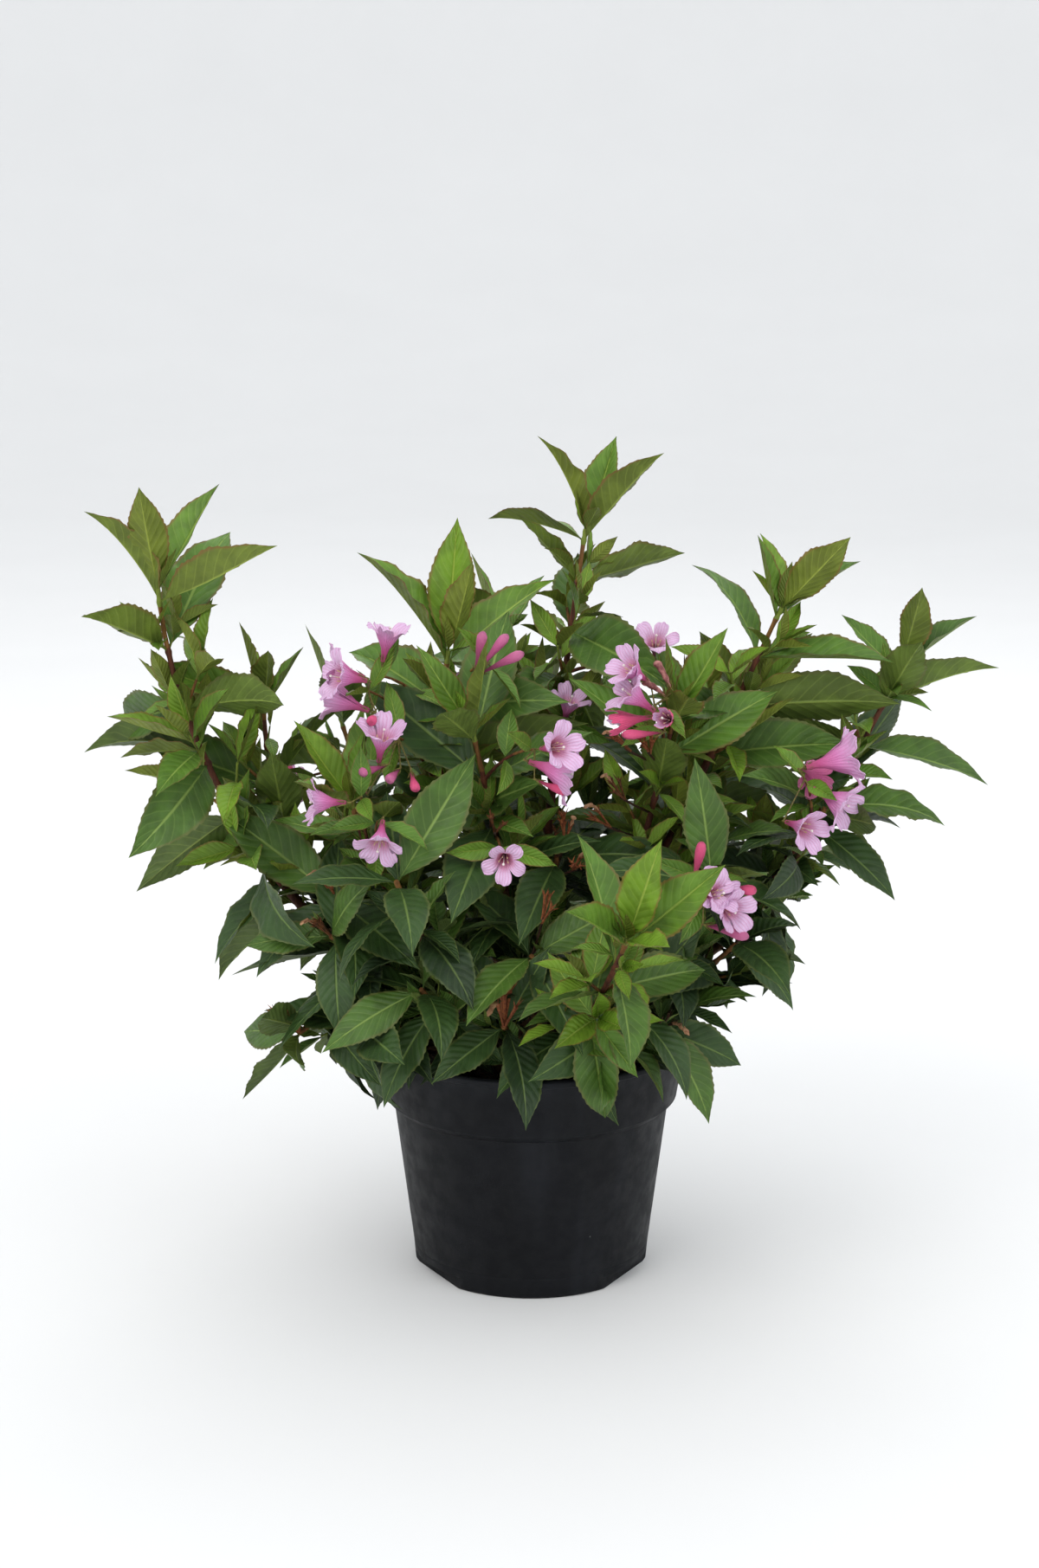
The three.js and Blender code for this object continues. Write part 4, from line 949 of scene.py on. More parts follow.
def stem_into(stem, start, tone_at, swellings=(), sides=7, step=9):
    """A leafy stem or twig, swollen where its leaves leave it, with a tone for each ring."""
    end = stem.length
    count = max(2, round((end - start) / step))
    rings = {round(start + i * (end - start) / count, 2) for i in range(count + 1)}
    beside = [s + off for s in swellings for off in (-SWELLING.reach, 0, SWELLING.reach)]
    rings |= {round(d, 2) for d in beside if start < d < end}

    def radius_at(radius, d, azimuth):
        swell = sum(math.exp(-(((d - s) / SWELLING.width) ** 2)) for s in swellings)
        ridges = 1 + RIDGES.height * math.cos(RIDGES.count * azimuth + d * RIDGES.turn)
        return BARK_OVER_STEM * radius * (1 + SWELLING.height * min(swell, 1)) * ridges

    points, faces, where = tube(stem, sorted(rings), radius_at, sides)
    twigs.add(points, faces, [tone_at(d) for d in where])


def twig_into(twig, tip_tone, foot_tone, sides=5, step=12):
    stem_into(twig, 0, lambda d: tip_tone if d > twig.length / 2 else foot_tone, sides=sides, step=step)


# The share of its length beyond which a stem has each tone, from the tip down. The rest is brown.
STEM_TONES = {
    "young": ((0.97, GREEN), (0.9, ORANGE), (0.36, RED)),
    "grown": ((0.97, GREEN), (0.88, ORANGE), (0.5, RED)),
    "spent": ((0.86, ORANGE),),
}

grown = {name: growth(limb) for name, limb in limbs.items()}
for limb in limbs.values():
    start = max(0, limb.bare_to - 2) if limb.bare_to else limb.stem.foot_radius
    nodes = sorted({round(limb.stem.length - d, 1) for d in leaf_distances(limb)})

    def tone_at(d, limb=limb):
        return next((tone for share, tone in STEM_TONES[limb.age] if d / limb.stem.length > share), BROWN)

    stem_into(limb.stem, start, tone_at, nodes)


def bloom_of(kind, root, heading, length):
    heading = Vector(heading).normalized()
    return Record(root=Vector(root), heading=heading, open=kind in ("open", "faded"), kind=kind, length=length)


clusters = [Record(on=b[0], **vars(cluster(b, limbs[b[0]].stem))) for b in BLOSSOM]
for number, bunch in enumerate(clusters):
    for bloom in bunch.blooms:
        bloom.kind, bloom.length = ("open", BLOOM.length) if bloom.open else ("coral", BLOOM.bud)
    bunch.blooms = [bloom_of(*row) for at, *row in BLOOMS if at == number] or bunch.blooms
    twig_into(bunch.twig, ORANGE, RED)

MOST_MEETS, MOST_MEETS_STANDING_OUT = 2, 4


def place_leaf(leaf, limb, tone, chance, fresh=False):
    """Adds a leaf, lifted where that keeps it clear, unless it closes a gap or passes through too many others."""
    options = [lifted(leaf, degrees) for degrees in (FEW_LIFTS if leaf.stands_out else LEAF.lifts)]
    options = [
        option for option in options
        if leaf_clear(option, limb.name) and (leaf.stands_out or not closes_gap(option))
    ]
    if not options:
        return
    proofs = [proof_of(option) for option in options]
    meets = []
    for proof in proofs:
        meets.append(room.meets(proof, PROOF_FACES))
        if not meets[-1]:
            break
    best = meets.index(min(meets))
    if meets[best] > (MOST_MEETS_STANDING_OUT if leaf.stands_out else MOST_MEETS):
        return
    room.fill(proofs[best], PROOF_FACES)
    add_leaf(heaps[limb.age], dressed(options[best], fresh or limb.age == "young", chance), tone)


BLOOM_ROOM = Record(start=8, beyond=3, open=14, bud=5)


def bloom_room(bloom):
    """Points and faces of the space in front of a bloom, which leaves keep out of."""
    side = bloom.heading.orthogonal().normalized()
    points = [bloom.root + bloom.heading * BLOOM_ROOM.start]
    wide = BLOOM_ROOM.open if bloom.open else BLOOM_ROOM.bud
    reach = bloom.length + (BLOOM_ROOM.beyond if bloom.open else 0)
    for j in range(6):
        off = Quaternion(bloom.heading, j * math.pi / 3) @ side
        points.append(bloom.root + bloom.heading * reach + off * wide)
    return points, [(0, 1 + j, 1 + (j + 1) % 6) for j in range(6)] + [(1, 2, 3, 4, 5, 6)]


for bunch in clusters:
    for bloom in bunch.blooms:
        room.fill(*bloom_room(bloom))

SUNLIT = ("right_low", "right_inside", "front_right_low")
SHADED_LIMBS, DEEPER_LEAVES = 0.3, 0.25


def toning(limb, chance):
    """What gives each leaf of a limb its tone: deeper with each pair, deeper on some limbs, lighter on sunlit ones."""
    tones = TONE_BY_PAIR[limb.age]
    shade = -1 if limb.name in SUNLIT else int(chance_of(limb.name + " shade")() < SHADED_LIMBS)

    def tone_of(k, fresh=0):
        step = k + shade + int(chance() < DEEPER_LEAVES) - fresh
        return TONE_NAMES.index(tones[min(max(step, 0), len(tones) - 1)])

    return tone_of


shortest_first = sorted(limbs.items(), key=lambda item: item[1].stem.length)
for name, limb in shortest_first:
    chance = chance_of(name + " leaves that stand out")
    tone_of = toning(limb, chance)
    for leaf in grown[name][0]:
        if leaf.stands_out:
            place_leaf(leaf, limb, tone_of(leaf.k), chance)
for name, limb in shortest_first:
    leaves, sides, used = grown[name]
    chance = chance_of(name + " looks")
    tone_of = toning(limb, chance)
    for leaf in leaves:
        if not leaf.stands_out:
            place_leaf(leaf, limb, tone_of(leaf.k), chance)
    for side in sides:
        twig_into(side.twig, GREEN, ORANGE)
        for leaf in side.leaves:
            place_leaf(leaf, limb, tone_of(leaf.k, 1), chance, fresh=True)
    for axil in leaves:
        wanted = FINER.spent_chance if limb.age == "spent" else FINER.chance
        if axil.k >= FINER.first_pair and not any(axil is taken for taken in used) and chance() < wanted:
            finer = finer_twig(axil, limb.stem, limb, chance)
            if all(clear_of_pot(p) and clear_of_limbs(p, name) for p in finer.twig.points[::10]):
                twig_into(finer.twig, GREEN, GREEN, sides=4, step=10)
                for leaf in finer.leaves:
                    place_leaf(leaf, limb, tone_of(leaf.k + 1, 2), chance, fresh=True)

BLOSSOM_LEAF = 42
for number, bunch in enumerate(clusters):
    limb, twig = limbs[bunch.on], bunch.twig
    chance = chance_of("blossom leaves %d" % number)
    for leaf in grow_pairs(twig, [3, 0.5 * twig.length], 2, BLOSSOM_LEAF, 90 * chance(), chance):
        leaf.k += 1
        place_leaf(leaf, limb, 1 + int(chance() < 0.5), chance, fresh=True)

APEX = Record(distances=[0.5, 1.5], leaf=0.42, turn=45, young_tone=0.4)
for name, limb in limbs.items():
    if limb.age != "spent":
        chance = chance_of(name + " apex")
        longest = LEAF.length * limb.leaf * APEX.leaf
        for leaf in grow_pairs(limb.stem, APEX.distances, 0, longest, limb.phase + APEX.turn, chance):
            place_leaf(leaf, limb, int(chance() < APEX.young_tone), chance, fresh=True)

masses = {age: ["mass_" + limb.name for limb in limbs.values() if limb.age == age] for age in AGES}
for age, heap in heaps.items():
    heap.made(masses[age], age.replace("spent", "old") + "_foliage")
twigs.made([name for names in masses.values() for name in names], "bark", crease=80)


# ---- Canes and boughs with their bark's relief

BARK = Record(ring_height=3, sides=12, round=1.3, along=0.05, ridges=((1.6, 0.3), (4, 0.14)), seed_step=20)
for number, (name, limb) in enumerate(limbs.items()):
    if not limb.bare_to:
        continue
    start = limb.stem.foot_radius * 0.5 if limb.forked else 0
    count = max(4, round((limb.bare_to - start) / BARK.ring_height))
    rings = [on_way(start, limb.bare_to, i, count) for i in range(count + 1)]
    seed = BARK.seed_step * number

    def bark_radius(radius, d, azimuth, limb=limb, seed=seed):
        flare = 0 if limb.forked else CANE.flare * math.exp(-max(d, 0) / CANE.flare_height)
        ring = Vector((math.cos(azimuth) * BARK.round, math.sin(azimuth) * BARK.round, d * BARK.along + seed))
        return radius * (1 + flare) + sum(noise.noise(ring * fineness) * height for fineness, height in BARK.ridges)

    heap = Heap("bark_" + name, [bark])
    points, faces, _ = tube(limb.stem, rings, bark_radius, BARK.sides)
    heap.add(points, faces, 0)
    heap.made([("bough_" if limb.forked else "cane_") + name], "bark", crease=80)


# ---- Pot and soil

POT = Record(
    base=96, base_edge=2, body=113, collar_foot=120, collar=127, rim=130, rim_width=4, rim_depth=3, lip=7, lip_edge=1.5,
    collar_height=50, step=6, step_out=1.2, step_up=0.4, wall=2.6, floor=4, notches=3, notch_depth=8, notch_height=11,
    groove=[(97.45, 17.2), (97.05, 18), (97.6, 18.8)], edge=0.7, sides=96,
)
COLLAR_FOOT, LIP = POT_TOP - POT.collar_height, POT_TOP - POT.lip


def pot_inside(inset=0):
    """Radius and height along the inside of the shell, from the floor up, drawn in by an inset."""
    foot = POT.base - POT.notch_depth - 2 * POT.wall
    return [
        (foot - POT.wall - inset, POT.floor + inset),
        (foot - inset, POT.notch_height + POT.wall + inset),
        (POT.body - POT.wall - inset, COLLAR_FOOT - POT.step + POT.wall / 2),
        (POT.collar_foot - POT.wall - inset, COLLAR_FOOT + POT.wall / 2),
        (POT.collar - POT.wall - inset, POT_TOP - POT.rim_depth),
    ]


def turned_solid(name, profile):
    """Raises a round solid ring by ring, from its underside to the middle of its last face."""
    (r0, z0), (r1, z1) = profile[:2]
    bpy.ops.object.select_all(action="DESELECT")
    bpy.ops.mesh.primitive_cone_add(
        vertices=POT.sides, radius1=r0 * MM, radius2=r1 * MM, depth=(z1 - z0) * MM, location=(0, 0, (z0 + z1) / 2 * MM)
    )
    solid = bpy.context.object
    solid.name = solid.data.name = name
    bpy.ops.object.transform_apply()
    top = max(solid.data.polygons, key=lambda face: face.center.z).index
    bpy.ops.object.mode_set(mode="EDIT")
    bpy.ops.mesh.select_mode(type="FACE")
    bpy.ops.mesh.select_all(action="DESELECT")
    bpy.ops.object.mode_set(mode="OBJECT")
    solid.data.polygons[top].select = True
    bpy.ops.object.mode_set(mode="EDIT")
    for (r, z), (far, high) in zip(profile[1:], profile[2:]):
        bpy.ops.mesh.extrude_region_move(TRANSFORM_OT_translate={"value": (0, 0, (high - z) * MM)})
        bpy.ops.transform.resize(value=(far / r, far / r, 1), center_override=(0, 0, 0))
    bpy.ops.mesh.select_all(action="SELECT")
    bpy.ops.mesh.normals_make_consistent(inside=False)
    bpy.ops.object.mode_set(mode="OBJECT")
    return solid


def applied(piece, kind, **settings):
    only(piece)
    modifier = piece.modifiers.new(kind.lower(), kind)
    for key, value in settings.items():
        setattr(modifier, key, value)
    bpy.ops.object.modifier_apply(modifier=modifier.name)


def pot_plastic():
    """Matte black plastic with fine grain, dust on the collar and a few pale specks."""
    f = Finish("pot_plastic", specular=0.18)
    shade = f.ramp(f.grain(14, 4), 0.3, 0.7)
    skin = f.mixed(shade, linear((7, 9, 13)), linear((11, 13, 18)))
    height = f.node("ShaderNodeSeparateXYZ", {0: f.place}).outputs[2]
    streak = f.ramp(f.grain(30, 4, (1, 1, 0.12)), 0.5, 0.78, 0.0, 0.2)
    dust = f.math("ADD", streak, f.ramp(height, 0.17, 0.194, 0.0, 0.2))
    skin = f.mixed(dust, skin, linear((46, 49, 55)))
    cells = f.node("ShaderNodeTexVoronoi", {"Vector": f.place, "Scale": 62.0})
    speck = f.ramp(cells.outputs["Distance"], 0.025, 0.05, 1.0, 0.0)
    odd = f.node("ShaderNodeSeparateColor", {0: cells.outputs["Color"]}).outputs[0]
    skin = f.mixed(f.math("MULTIPLY", speck, f.ramp(odd, 0.62, 0.8, 0.0, 0.6)), skin, linear((150, 152, 150)))
    f.colour(skin)
    f.rough(f.ramp(f.grain(70, 4), 0.3, 0.7, 0.5, 0.66))
    f.relief(f.math("MULTIPLY_ADD", f.grain(1400, 2), 0.6, f.grain(160, 3)), 0.0004, 0.6)
    return f.material


pot_outside = [
    (POT.base - POT.base_edge, 0), (POT.base, POT.base_edge), *POT.groove,
    (POT.body, COLLAR_FOOT - POT.step), (POT.body + POT.step_out, COLLAR_FOOT - POT.step + POT.step_up),
    (POT.collar_foot, COLLAR_FOOT), (POT.collar, LIP),
    (POT.rim, LIP + POT.lip_edge), (POT.rim, POT_TOP - POT.lip_edge), (POT.rim - POT.lip_edge, POT_TOP),
    (POT.rim - POT.rim_width, POT_TOP),
]
pot = turned_solid("pot_shell", pot_outside + pot_inside()[::-1])
notch_cuts = []
for i in range(POT.notches):
    turn = 2 * math.pi * i / POT.notches + math.pi / 2
    out = POT.base + 1.5 * POT.notch_depth
    bpy.ops.mesh.primitive_cube_add(size=1, location=(out * MM * math.cos(turn), out * MM * math.sin(turn), 0))
    cut = bpy.context.object
    cut.scale = (5 * POT.notch_depth * MM, 1.56 * POT.base * MM, 2 * POT.notch_height * MM)
    cut.rotation_euler = (0, 0, turn)
    bpy.ops.object.transform_apply()
    notch_cuts.append(cut)
for cut in notch_cuts:
    applied(pot, "BOOLEAN", operation="DIFFERENCE", solver="EXACT", object=cut)
    only(cut)
    bpy.ops.object.delete()
applied(pot, "BEVEL", width=POT.edge * MM, segments=2, limit_method="ANGLE", angle_limit=math.radians(28))
pot.data.materials.append(pot_plastic())
smoothed(pot, 40)
kept(pot, ["pot"])


def potting_mix(name, dark, light):
    f = Finish(name, roughness=0.95, specular=0.15)
    crumb = f.grain(420, 5)
    fibre = f.grain(150, 4, (1, 0.25, 1))
    f.colour(f.mixed(f.ramp(crumb, 0.36, 0.68), linear(dark), linear(light)))
    f.rough(f.ramp(fibre, 0.3, 0.7, 0.85, 1.0))
    f.relief(f.math("ADD", crumb, fibre), 0.0015)
    return f.material


# Levels of the bed's edge, of its middle and of where its uneven top begins are measured down from the soil's level.
BED = Record(clear=0.6, edge=4, middle=2.6, top=3, rings=19, ring_width=6, crumb=0.011, crumb_height=5, mid_level=0.42)
inside = pot_inside(BED.clear)
(low_radius, low), (high_radius, high) = inside[3:]
share = (SOIL_LEVEL - low) / (high - low)
soil_radius = low_radius + (high_radius - low_radius) * share
middle = [(soil_radius - BED.ring_width * i, SOIL_LEVEL - BED.middle) for i in range(BED.rings)]
soil = turned_solid("soil_bed", inside[:4] + [(soil_radius, SOIL_LEVEL - BED.edge)] + middle)
crumbs = bpy.data.textures.new("crumbs", "CLOUDS")
crumbs.noise_scale, crumbs.noise_depth = BED.crumb, 3
top_level, top_radius = (SOIL_LEVEL - BED.top) * MM, (soil_radius - BED.top) * MM
top = [v.index for v in soil.data.vertices if v.co.z > top_level and v.co.xy.length < top_radius]
soil.vertex_groups.new(name="top").add(top, 1, "ADD")
applied(
    soil, "DISPLACE", texture=crumbs, texture_coords="LOCAL", direction="Z", strength=BED.crumb_height * MM,
    mid_level=BED.mid_level, vertex_group="top",
)
soil.data.materials.append(potting_mix("potting_mix", (16, 11, 8), (58, 42, 30)))
smoothed(soil, 60)
kept(soil, ["soil"])

CHIPS = Record(count=420, reach=114, size=(1.2, 4.6), smaller=2.5, sunk=2.4, tilt=1, jitter=0.3, crumbs=0.6)
CHIP_CORNERS = ((-1, -1), (1, -0.7), (0.9, 1), (-0.8, 0.8))
CHIP_FACES = [(3, 2, 1, 0), (4, 5, 6, 7)] + [(j, (j + 1) % 4, (j + 1) % 4 + 4, j + 4) for j in range(4)]
chance = chance_of("soil")
chips = Heap("soil_chips", [
    potting_mix("bark_chip", (38, 25, 17), (84, 58, 40)), potting_mix("peat_crumb", (20, 14, 10), (46, 33, 24)),
])
for _ in range(CHIPS.count):
    reach, turn = CHIPS.reach * math.sqrt(chance()), 2 * math.pi * chance()
    least, more = CHIPS.size
    size = least + more * chance() ** CHIPS.smaller
    middle = Vector((reach * math.cos(turn), reach * math.sin(turn), SOIL_LEVEL - CHIPS.sunk + size * 0.2))
    spin = Quaternion(UP, 2 * math.pi * chance()) @ Quaternion((1, 0, 0), about(chance, CHIPS.tilt))
    along, wide, tall = size * (1 + 1.1 * chance()), size * 0.6, size * (0.25 + 0.3 * chance())
    points = []
    for z in (-tall, tall):
        for x, y in CHIP_CORNERS:
            x, y = [c * (1 + about(chance, CHIPS.jitter)) for c in (x * along, y * wide)]
            points.append(tuple(middle + spin @ Vector((x, y, z))))
    chips.add(points, CHIP_FACES, int(chance() < CHIPS.crumbs))
chips.made([], "soil", crease=20)


# ---- Blossom

def petal_finish(name, ramp_stops, streak):
    """Petal skin that deepens from lobe to tube, with fine lengthwise streaks."""
    f = Finish(name, roughness=0.5, specular=0.3)
    place = f.node("ShaderNodeUVMap", uv_map="blade").outputs[0]
    ramp = f.node("ShaderNodeValToRGB", {0: f.node("ShaderNodeSeparateXYZ", {0: place}).outputs[1]})
    stops = ramp.color_ramp.elements
    for i, (share, rgb) in enumerate(ramp_stops):
        stop = stops[i] if i < 2 else stops.new(share)
        stop.position, stop.color = share, linear(rgb)
    lines = f.node("ShaderNodeTexWave", {"Vector": place, "Scale": 9.0, "Distortion": 2.0})
    deeper = f.mixed(1.0, ramp.outputs[0], linear((196, 96, 148)))
    share = f.math("MULTIPLY", f.ramp(lines.outputs["Fac"], 0.6, 1.0), streak)
    f.colour(f.mixed(f.math("ADD", share, f.ramp(f.grain(220, 3), 0.5, 0.8, 0.0, 0.12)), ramp.outputs[0], deeper))
    f.rough(f.ramp(f.grain(400, 2), 0.3, 0.7, 0.44, 0.6))
    f.relief(f.math("ADD", lines.outputs["Fac"], f.grain(700, 2)), 0.0003)
    return f.material


def plain_finish(name, dark, light, scale=500, roughness=0.55):
    f = Finish(name, specular=0.3)
    f.colour(f.mixed(f.ramp(f.grain(scale, 3), 0.35, 0.65), linear(dark), linear(light)))
    f.rough(f.ramp(f.grain(scale, 2), 0.3, 0.7, roughness - 0.06, roughness + 0.1))
    f.relief(f.grain(2 * scale, 3), 0.0004)
    return f.material


PETAL_OUT, PETAL_IN, CORAL, DUSKY, CALYX, STYLE, ANTHER, WITHERED = range(8)
# Place from tube to lobe, and colour. Both ends come first.
PETAL_STOPS = {
    "petal_outside": [
        (0, (176, 84, 96)), (1, (222, 184, 221)), (0.3, (202, 86, 142)), (0.58, (214, 126, 184)),
        (0.8, (220, 165, 211)),
    ],
    "petal_inside": [
        (0, (190, 120, 108)), (1, (220, 186, 221)), (0.45, (206, 124, 150)), (0.62, (224, 168, 201)),
        (0.74, (224, 189, 222)),
    ],
    "bud_coral": [(0, (160, 88, 84)), (1, (236, 96, 140)), (0.25, (214, 82, 122)), (0.7, (232, 88, 134))],
    "bud_dusky": [(0, (150, 74, 84)), (1, (214, 122, 164)), (0.25, (186, 84, 128)), (0.7, (204, 100, 150))],
}
blossom = Heap("blossom", [
    *(petal_finish(name, stops, 0.3 if name == "petal_inside" else 0.25) for name, stops in PETAL_STOPS.items()),
    plain_finish("calyx_green", (92, 76, 44), (122, 118, 58)),
    plain_finish("style_white", (224, 212, 206), (240, 232, 226)),
    plain_finish("anther_cream", (214, 190, 140), (234, 214, 170)),
    plain_finish("petal_withered", (112, 60, 62), (180, 122, 116), 200, 0.7),
])
COROLLA = Record(
    tube=[(3, 1.2), (8, 1.5), (13, 2.6), (17, 4.5), (20.5, 6.3), (23.5, 7.6)],
    steps=(2.9, 2.9, 2.7, 2.1), opening=(32, 50, 66, 80), half_width=(4.7, 5.7, 5.9, 5.1, 2.9),
    lobes=5, columns=6, dent=0.08, throat=0.7, skin=0.4, whole=31,
)


def thickened(points, faces, places, skin):
    """Turns one sheet of faces into a closed skin: front, back and rim, in this order."""
    points = np.asarray(points, float)
    normals = np.zeros_like(points)
    for face in faces:
        a, b, c = points[list(face[:3])]
        normals[list(face)] += np.cross(b - a, c - a)
    normals /= np.linalg.norm(normals, axis=1)[:, None] + 1e-9
    n = len(points)
    sides = {(a, b) for face in faces for a, b in zip(face, face[1:] + face[:1])}
    rim = [(b, a, a + n, b + n) for a, b in sides if (b, a) not in sides]
    back = [tuple(i + n for i in reversed(face)) for face in faces]
    return np.concatenate([points, points - normals * skin]), list(faces) + back + sorted(rim), places + places


def corolla_sheet(chance, openness):
    """The inner skin of a funnel with five lobes, spread by an openness. Points are along Z from the ovary."""
    c = COROLLA
    around = c.lobes * c.columns
    throat_z, throat_r = c.tube[-1]
    points, faces, places = [], [], []
    for z, r in c.tube:
        for j in range(around):
            turn = 2 * math.pi * j / around
            dent = 1 - c.dent * (z / throat_z) * math.cos(c.lobes * turn)
            points.append((r * dent * math.cos(turn), r * dent * math.sin(turn), z))
            places.append((j / around, c.throat * z / throat_z))
    for i in range(len(c.tube) - 1):
        for j in range(around):
            k = (j + 1) % around
            faces.append((i * around + k, i * around + j, (i + 1) * around + j, (i + 1) * around + k))
    last, rows = (len(c.tube) - 1) * around, len(c.steps)
    for lobe in range(c.lobes):
        turn = 2 * math.pi * (lobe + 0.5) / c.lobes
        size = over(chance, 0.9, 0.25) * min(1, 0.5 + 0.6 * openness)
        spread = openness * over(chance, 0.75, 0.5)
        tilt, cup, wave = about(chance, 3), over(chance, 0.2, 1.1), 2 * math.pi * chance()
        line = [(throat_z, throat_r)]
        for step, angle in zip(c.steps, c.opening):
            out = math.radians(angle * spread)
            line.append((line[-1][0] + step * size * math.cos(out), line[-1][1] + step * size * math.sin(out)))
        below = [last + (lobe * c.columns + j) % around for j in range(c.columns + 1)]
        for i in range(1, rows + 1):
            row = []
            for j in range(c.columns + 1):
                side = 2 * j / c.columns - 1
                at = i - 0.5 * side**2 * (i / rows) ** 2
                z, r = [np.interp(at, range(rows + 1), values) for values in zip(*line)]
                x = side * np.interp(at, range(rows + 1), c.half_width) * size
                z += (tilt * side + 1.1 * math.sin(4 * side + wave + 1.5 * at) + cup * side**2) * at / rows
                row.append(len(points))
                across, out = r * math.cos(turn) - x * math.sin(turn), r * math.sin(turn) + x * math.cos(turn)
                points.append((across, out, z))
                places.append(((lobe + 0.5 + side / 2) / c.lobes, c.throat + 0.3 * at / rows))
            faces += [(below[j + 1], below[j], row[j], row[j + 1]) for j in range(c.columns)]
            below = row
    return points, faces, places


def spindle(start, heading, profile, sides, bend=Vector((0, 0, 0))):
    """A closed round shape along a heading, from (distance, radius) pairs. Gives points, faces and places."""
    side = heading.orthogonal().normalized()
    cross = heading.cross(side)
    points, places = [], []
    length = profile[-1][0]
    for d, r in profile:
        middle = start + heading * d + bend * (d / length) ** 2
        for j in range(sides):
            turn = 2 * math.pi * j / sides
            points.append(tuple(middle + (side * math.cos(turn) + cross * math.sin(turn)) * r))
            places.append((j / sides, d / length))
    return points, ring_faces(len(profile), sides), places


def put(shape, tone, heap=blossom):
    points, faces, places = shape
    heap.add(points, faces, tone, places)


# Distance along and radius. In CLUB, the closed bud, the distances are shares of its length.
OVARY = [(-1, 0.7), (1.5, 0.95), (3.5, 1.2), (4.2, 0.9)]
KNOB = [(-1.2, 0.3), (-0.4, 1.1), (0.5, 1.1), (1.2, 0.3)]
ANTHER_PROFILE = [(-0.6, 0.2), (0.4, 0.6), (2, 0.55), (2.8, 0.2)]
CLUB = [
    (0.03, 1.0), (0.2, 1.3), (0.38, 2.0), (0.56, 3.1), (0.74, 4.0), (0.87, 4.0), (0.95, 2.9), (0.99, 1.4), (1.0, 0.5),
]
SHRIVELLED = [(3, 1), (8, 1.4), (12, 2.1), (16, 2.2), (20, 2.9), (24, 2.6), (27, 3.3), (30, 2.1), (31, 0.6)]
DRY_COROLLA = [(0, 1), (5, 1.5), (10, 1.1), (14, 2.6), (18, 1.8), (21, 2.4), (24, 0.5)]
SEPAL, PARTS = 8, 5


def out_from(heading, angle):
    """The way straight out from a heading, at an angle round it."""
    return Quaternion(heading, angle) @ heading.orthogonal().normalized()


def calyx(root, heading, chance):
    """The slim ovary with five narrow sepals on its end."""
    put(spindle(root, heading, OVARY, 6), CALYX)
    for j in range(PARTS):
        out = out_from(heading, 2 * math.pi * j / PARTS)
        way = (heading + out * over(chance, 0.28, 0.2)).normalized()
        reach = SEPAL * over(chance, 0.8, 0.4)
        put(spindle(root + heading * 2.6 + out * 0.8, way, [(0, 0.75), (reach * 0.5, 0.6), (reach, 0.08)], 3), CALYX)


FUNNEL = Record(half=0.22, open=(0.85, 0.4), sizes=(0.96, 0.08), half_wide=0.86, wide=1.04, sag=-0.9, sag_length=30)
PISTIL = Record(foot=6, reach=0.88, lean=0.05)
STAMEN = Record(foot=0.4, out=1.6, reach=0.28, spread=(0.12, 0.16))


def pistil_and_stamens(bloom, chance):
    heading = bloom.heading
    style = (heading + heading.orthogonal().normalized() * PISTIL.lean).normalized()
    foot, reach = bloom.root + heading * PISTIL.foot, PISTIL.reach * bloom.length
    put(spindle(foot, style, [(0, 0.4), (reach - 8, 0.35), (reach - 6, 0.4)], 4), STYLE)
    put(spindle(foot + style * (reach - 5), style, KNOB, 6), STYLE)
    reach = STAMEN.reach * bloom.length
    for j in range(PARTS):
        out = out_from(heading, 2 * math.pi * (j + 0.5) / PARTS)
        foot = bloom.root + heading * (STAMEN.foot * bloom.length) + out * STAMEN.out
        way = (heading + out * over(chance, *STAMEN.spread)).normalized()
        put(spindle(foot, way, [(0, 0.3), (reach, 0.25)], 3), STYLE)
        put(spindle(foot + way * reach, way, ANTHER_PROFILE, 4), ANTHER)


def open_bloom(bloom, chance):
    """A funnel with its pistil and stamens. A half open one is narrower, and a faded one is darker."""
    heading, half = bloom.heading, bloom.kind == "half"
    calyx(bloom.root, heading, chance)
    turn = UP.rotation_difference(heading) @ Quaternion(UP, 2 * math.pi * chance())
    size = bloom.length / COROLLA.whole * over(chance, *FUNNEL.sizes)
    sheet = corolla_sheet(chance, FUNNEL.half if half else over(chance, *FUNNEL.open))
    points, faces, places = thickened(*sheet, COROLLA.skin)
    sag, wide = heading.cross(UP).cross(heading) * FUNNEL.sag, FUNNEL.half_wide if half else FUNNEL.wide
    placed = []
    for x, y, z in points:
        turned = turn @ (Vector((x * wide, y * wide, z)) * size)
        placed.append(tuple(bloom.root + turned + sag * (z / FUNNEL.sag_length) ** 2))
    inner = PETAL_OUT if bloom.kind == "faded" else PETAL_IN
    outer = {"half": CORAL, "faded": DUSKY}.get(bloom.kind, PETAL_OUT)
    front = len(sheet[1])
    blossom.add(placed, faces, [inner] * front + [outer] * (len(faces) - front), places)
    pistil_and_stamens(bloom, chance)


def bud(bloom, chance):
    """A closed corolla, like a club."""
    calyx(bloom.root, bloom.heading, chance)
    reach = bloom.length * over(chance, 0.94, 0.12)
    profile = [(3 + share * (reach - 3), r * over(chance, 0.94, 0.1)) for share, r in CLUB]
    bend = Vector((about(chance, 4), about(chance, 4), about(chance, 4)))
    put(spindle(bloom.root, bloom.heading, profile, 12, bend), CORAL if bloom.kind == "coral" else DUSKY)


